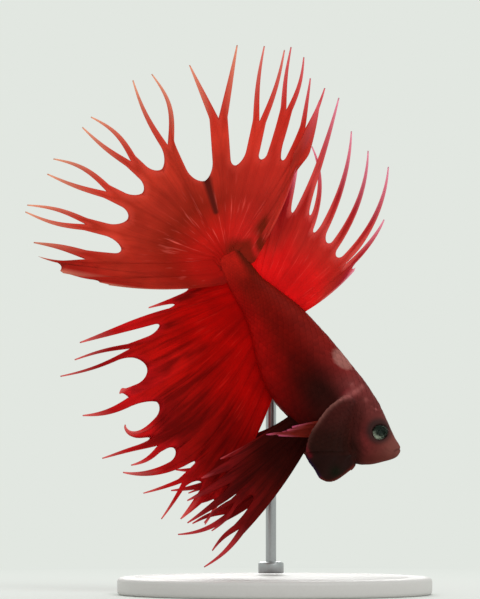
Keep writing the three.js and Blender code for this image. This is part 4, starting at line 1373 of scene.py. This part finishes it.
surface = build_skin(red_skin)
build_scales(surface, scale_skin)
fin_piece(TAIL_FIN, "tail_fin_web", tail_finish, ["tail_fin"])
fin_piece(BACK_FIN, "dorsal_fin_web", back_finish, ["dorsal_fin"])
fin_piece(ANAL_FIN, "anal_fin_web", anal_finish, ["anal_fin"])
for side, out in (("right", -1), ("left", 1)):
    sweep = -28 if out > 0 else 0
    fin_piece(pelvic_fin(out, sweep), f"pelvic_fin_web_{side}", breast_finish, [f"pelvic_fin_{side}"])
    fin_piece(pectoral_fin(out), f"pectoral_fin_web_{side}", clear_finish, [f"pectoral_fin_{side}"])
    eye_piece(EYE_PROFILE, f"eyeball_{side}", out, eye_finish, [f"eye_{side}"])
    eye_piece(CORNEA_PROFILE, f"cornea_{side}", out, clear_eye, [])
stand_base(base_finish)
steel = plain_material("stand_steel", paint(168, 170, 172), 0.36, 1.0)
stand_rod(steel)
stand_collar(steel)
stand_pad(steel)

# ---------------------------------------------------------------- scene

VIEW = SimpleNamespace(distance=1600.0, height=102.64464, x=-5.95, z=50.56)  # height is what the view spans
BACKDROP = paint(226, 231, 225)


def add_camera():
    lens = bpy.data.cameras.new("camera")
    lens.sensor_fit = "VERTICAL"
    lens.sensor_height = 24
    lens.lens = lens.sensor_height * VIEW.distance / VIEW.height
    lens.clip_end = 20
    camera = add_object("camera", lens)
    camera.location = (VIEW.x * MM, -VIEW.distance * MM, VIEW.z * MM)
    camera.rotation_euler = (np.pi / 2, 0, 0)
    bpy.context.scene.camera = camera


def add_floor():
    """A floor that carries the shadow near the stand and takes the backdrop's colour further out."""
    bm = bmesh.new()
    bmesh.ops.create_grid(bm, x_segments=1, y_segments=1, size=4000)
    bmesh.ops.scale(bm, vec=(MM, MM, MM), verts=bm.verts)
    mesh = bpy.data.meshes.new("floor")
    bm.to_mesh(mesh)
    bm.free()
    floor = add_object("floor", mesh)
    material, tree = new_material("floor_paper")
    place_on = node(tree, "ShaderNodeTexCoord").outputs["Object"]
    away = node(tree, "ShaderNodeVectorMath", {0: place_on}, operation="LENGTH").outputs["Value"]
    far = product(tree, spread(tree, away, 0.03, 0.16), seen(tree))
    front = node(tree, "ShaderNodeBsdfDiffuse", {"Color": paint(222, 226, 221)})
    shine = node(tree, "ShaderNodeEmission", {"Color": BACKDROP, "Strength": 1.0})
    both = node(tree, "ShaderNodeMixShader", {0: far, 1: front.outputs[0], 2: shine.outputs[0]})
    shown(tree, both)
    mesh.materials.append(material)


def add_world():
    world = bpy.data.worlds.new("studio")
    world.use_nodes = True
    tree = world.node_tree
    tree.nodes.clear()
    light = node(tree, "ShaderNodeBackground", {"Color": (1, 1, 1, 1), "Strength": 0.7})
    sight = node(tree, "ShaderNodeBackground", {"Color": BACKDROP, "Strength": 1.0})
    both = node(tree, "ShaderNodeMixShader", {0: seen(tree), 1: light.outputs[0], 2: sight.outputs[0]})
    shown(tree, both, "World")
    bpy.context.scene.world = world


def add_lamp(name, place_at, aim, size, power):
    lamp = bpy.data.lights.new(name, "AREA")
    lamp.shape = "DISK"
    lamp.size = size
    lamp.energy = power
    holder = add_object(name, lamp)
    holder.location = place_at
    holder.rotation_euler = (Vector(aim) - Vector(place_at)).to_track_quat("-Z", "Y").to_euler()


add_camera()
add_floor()
add_world()
add_lamp("back_soft", (-0.1, 0.7, 0.5), (0, 0, 0.05), 0.6, 4.0)
add_lamp("key_soft", (0.5, -0.7, 0.7), (0, 0, 0.05), 0.5, 2.5)
bpy.context.scene.view_settings.view_transform = "Standard"
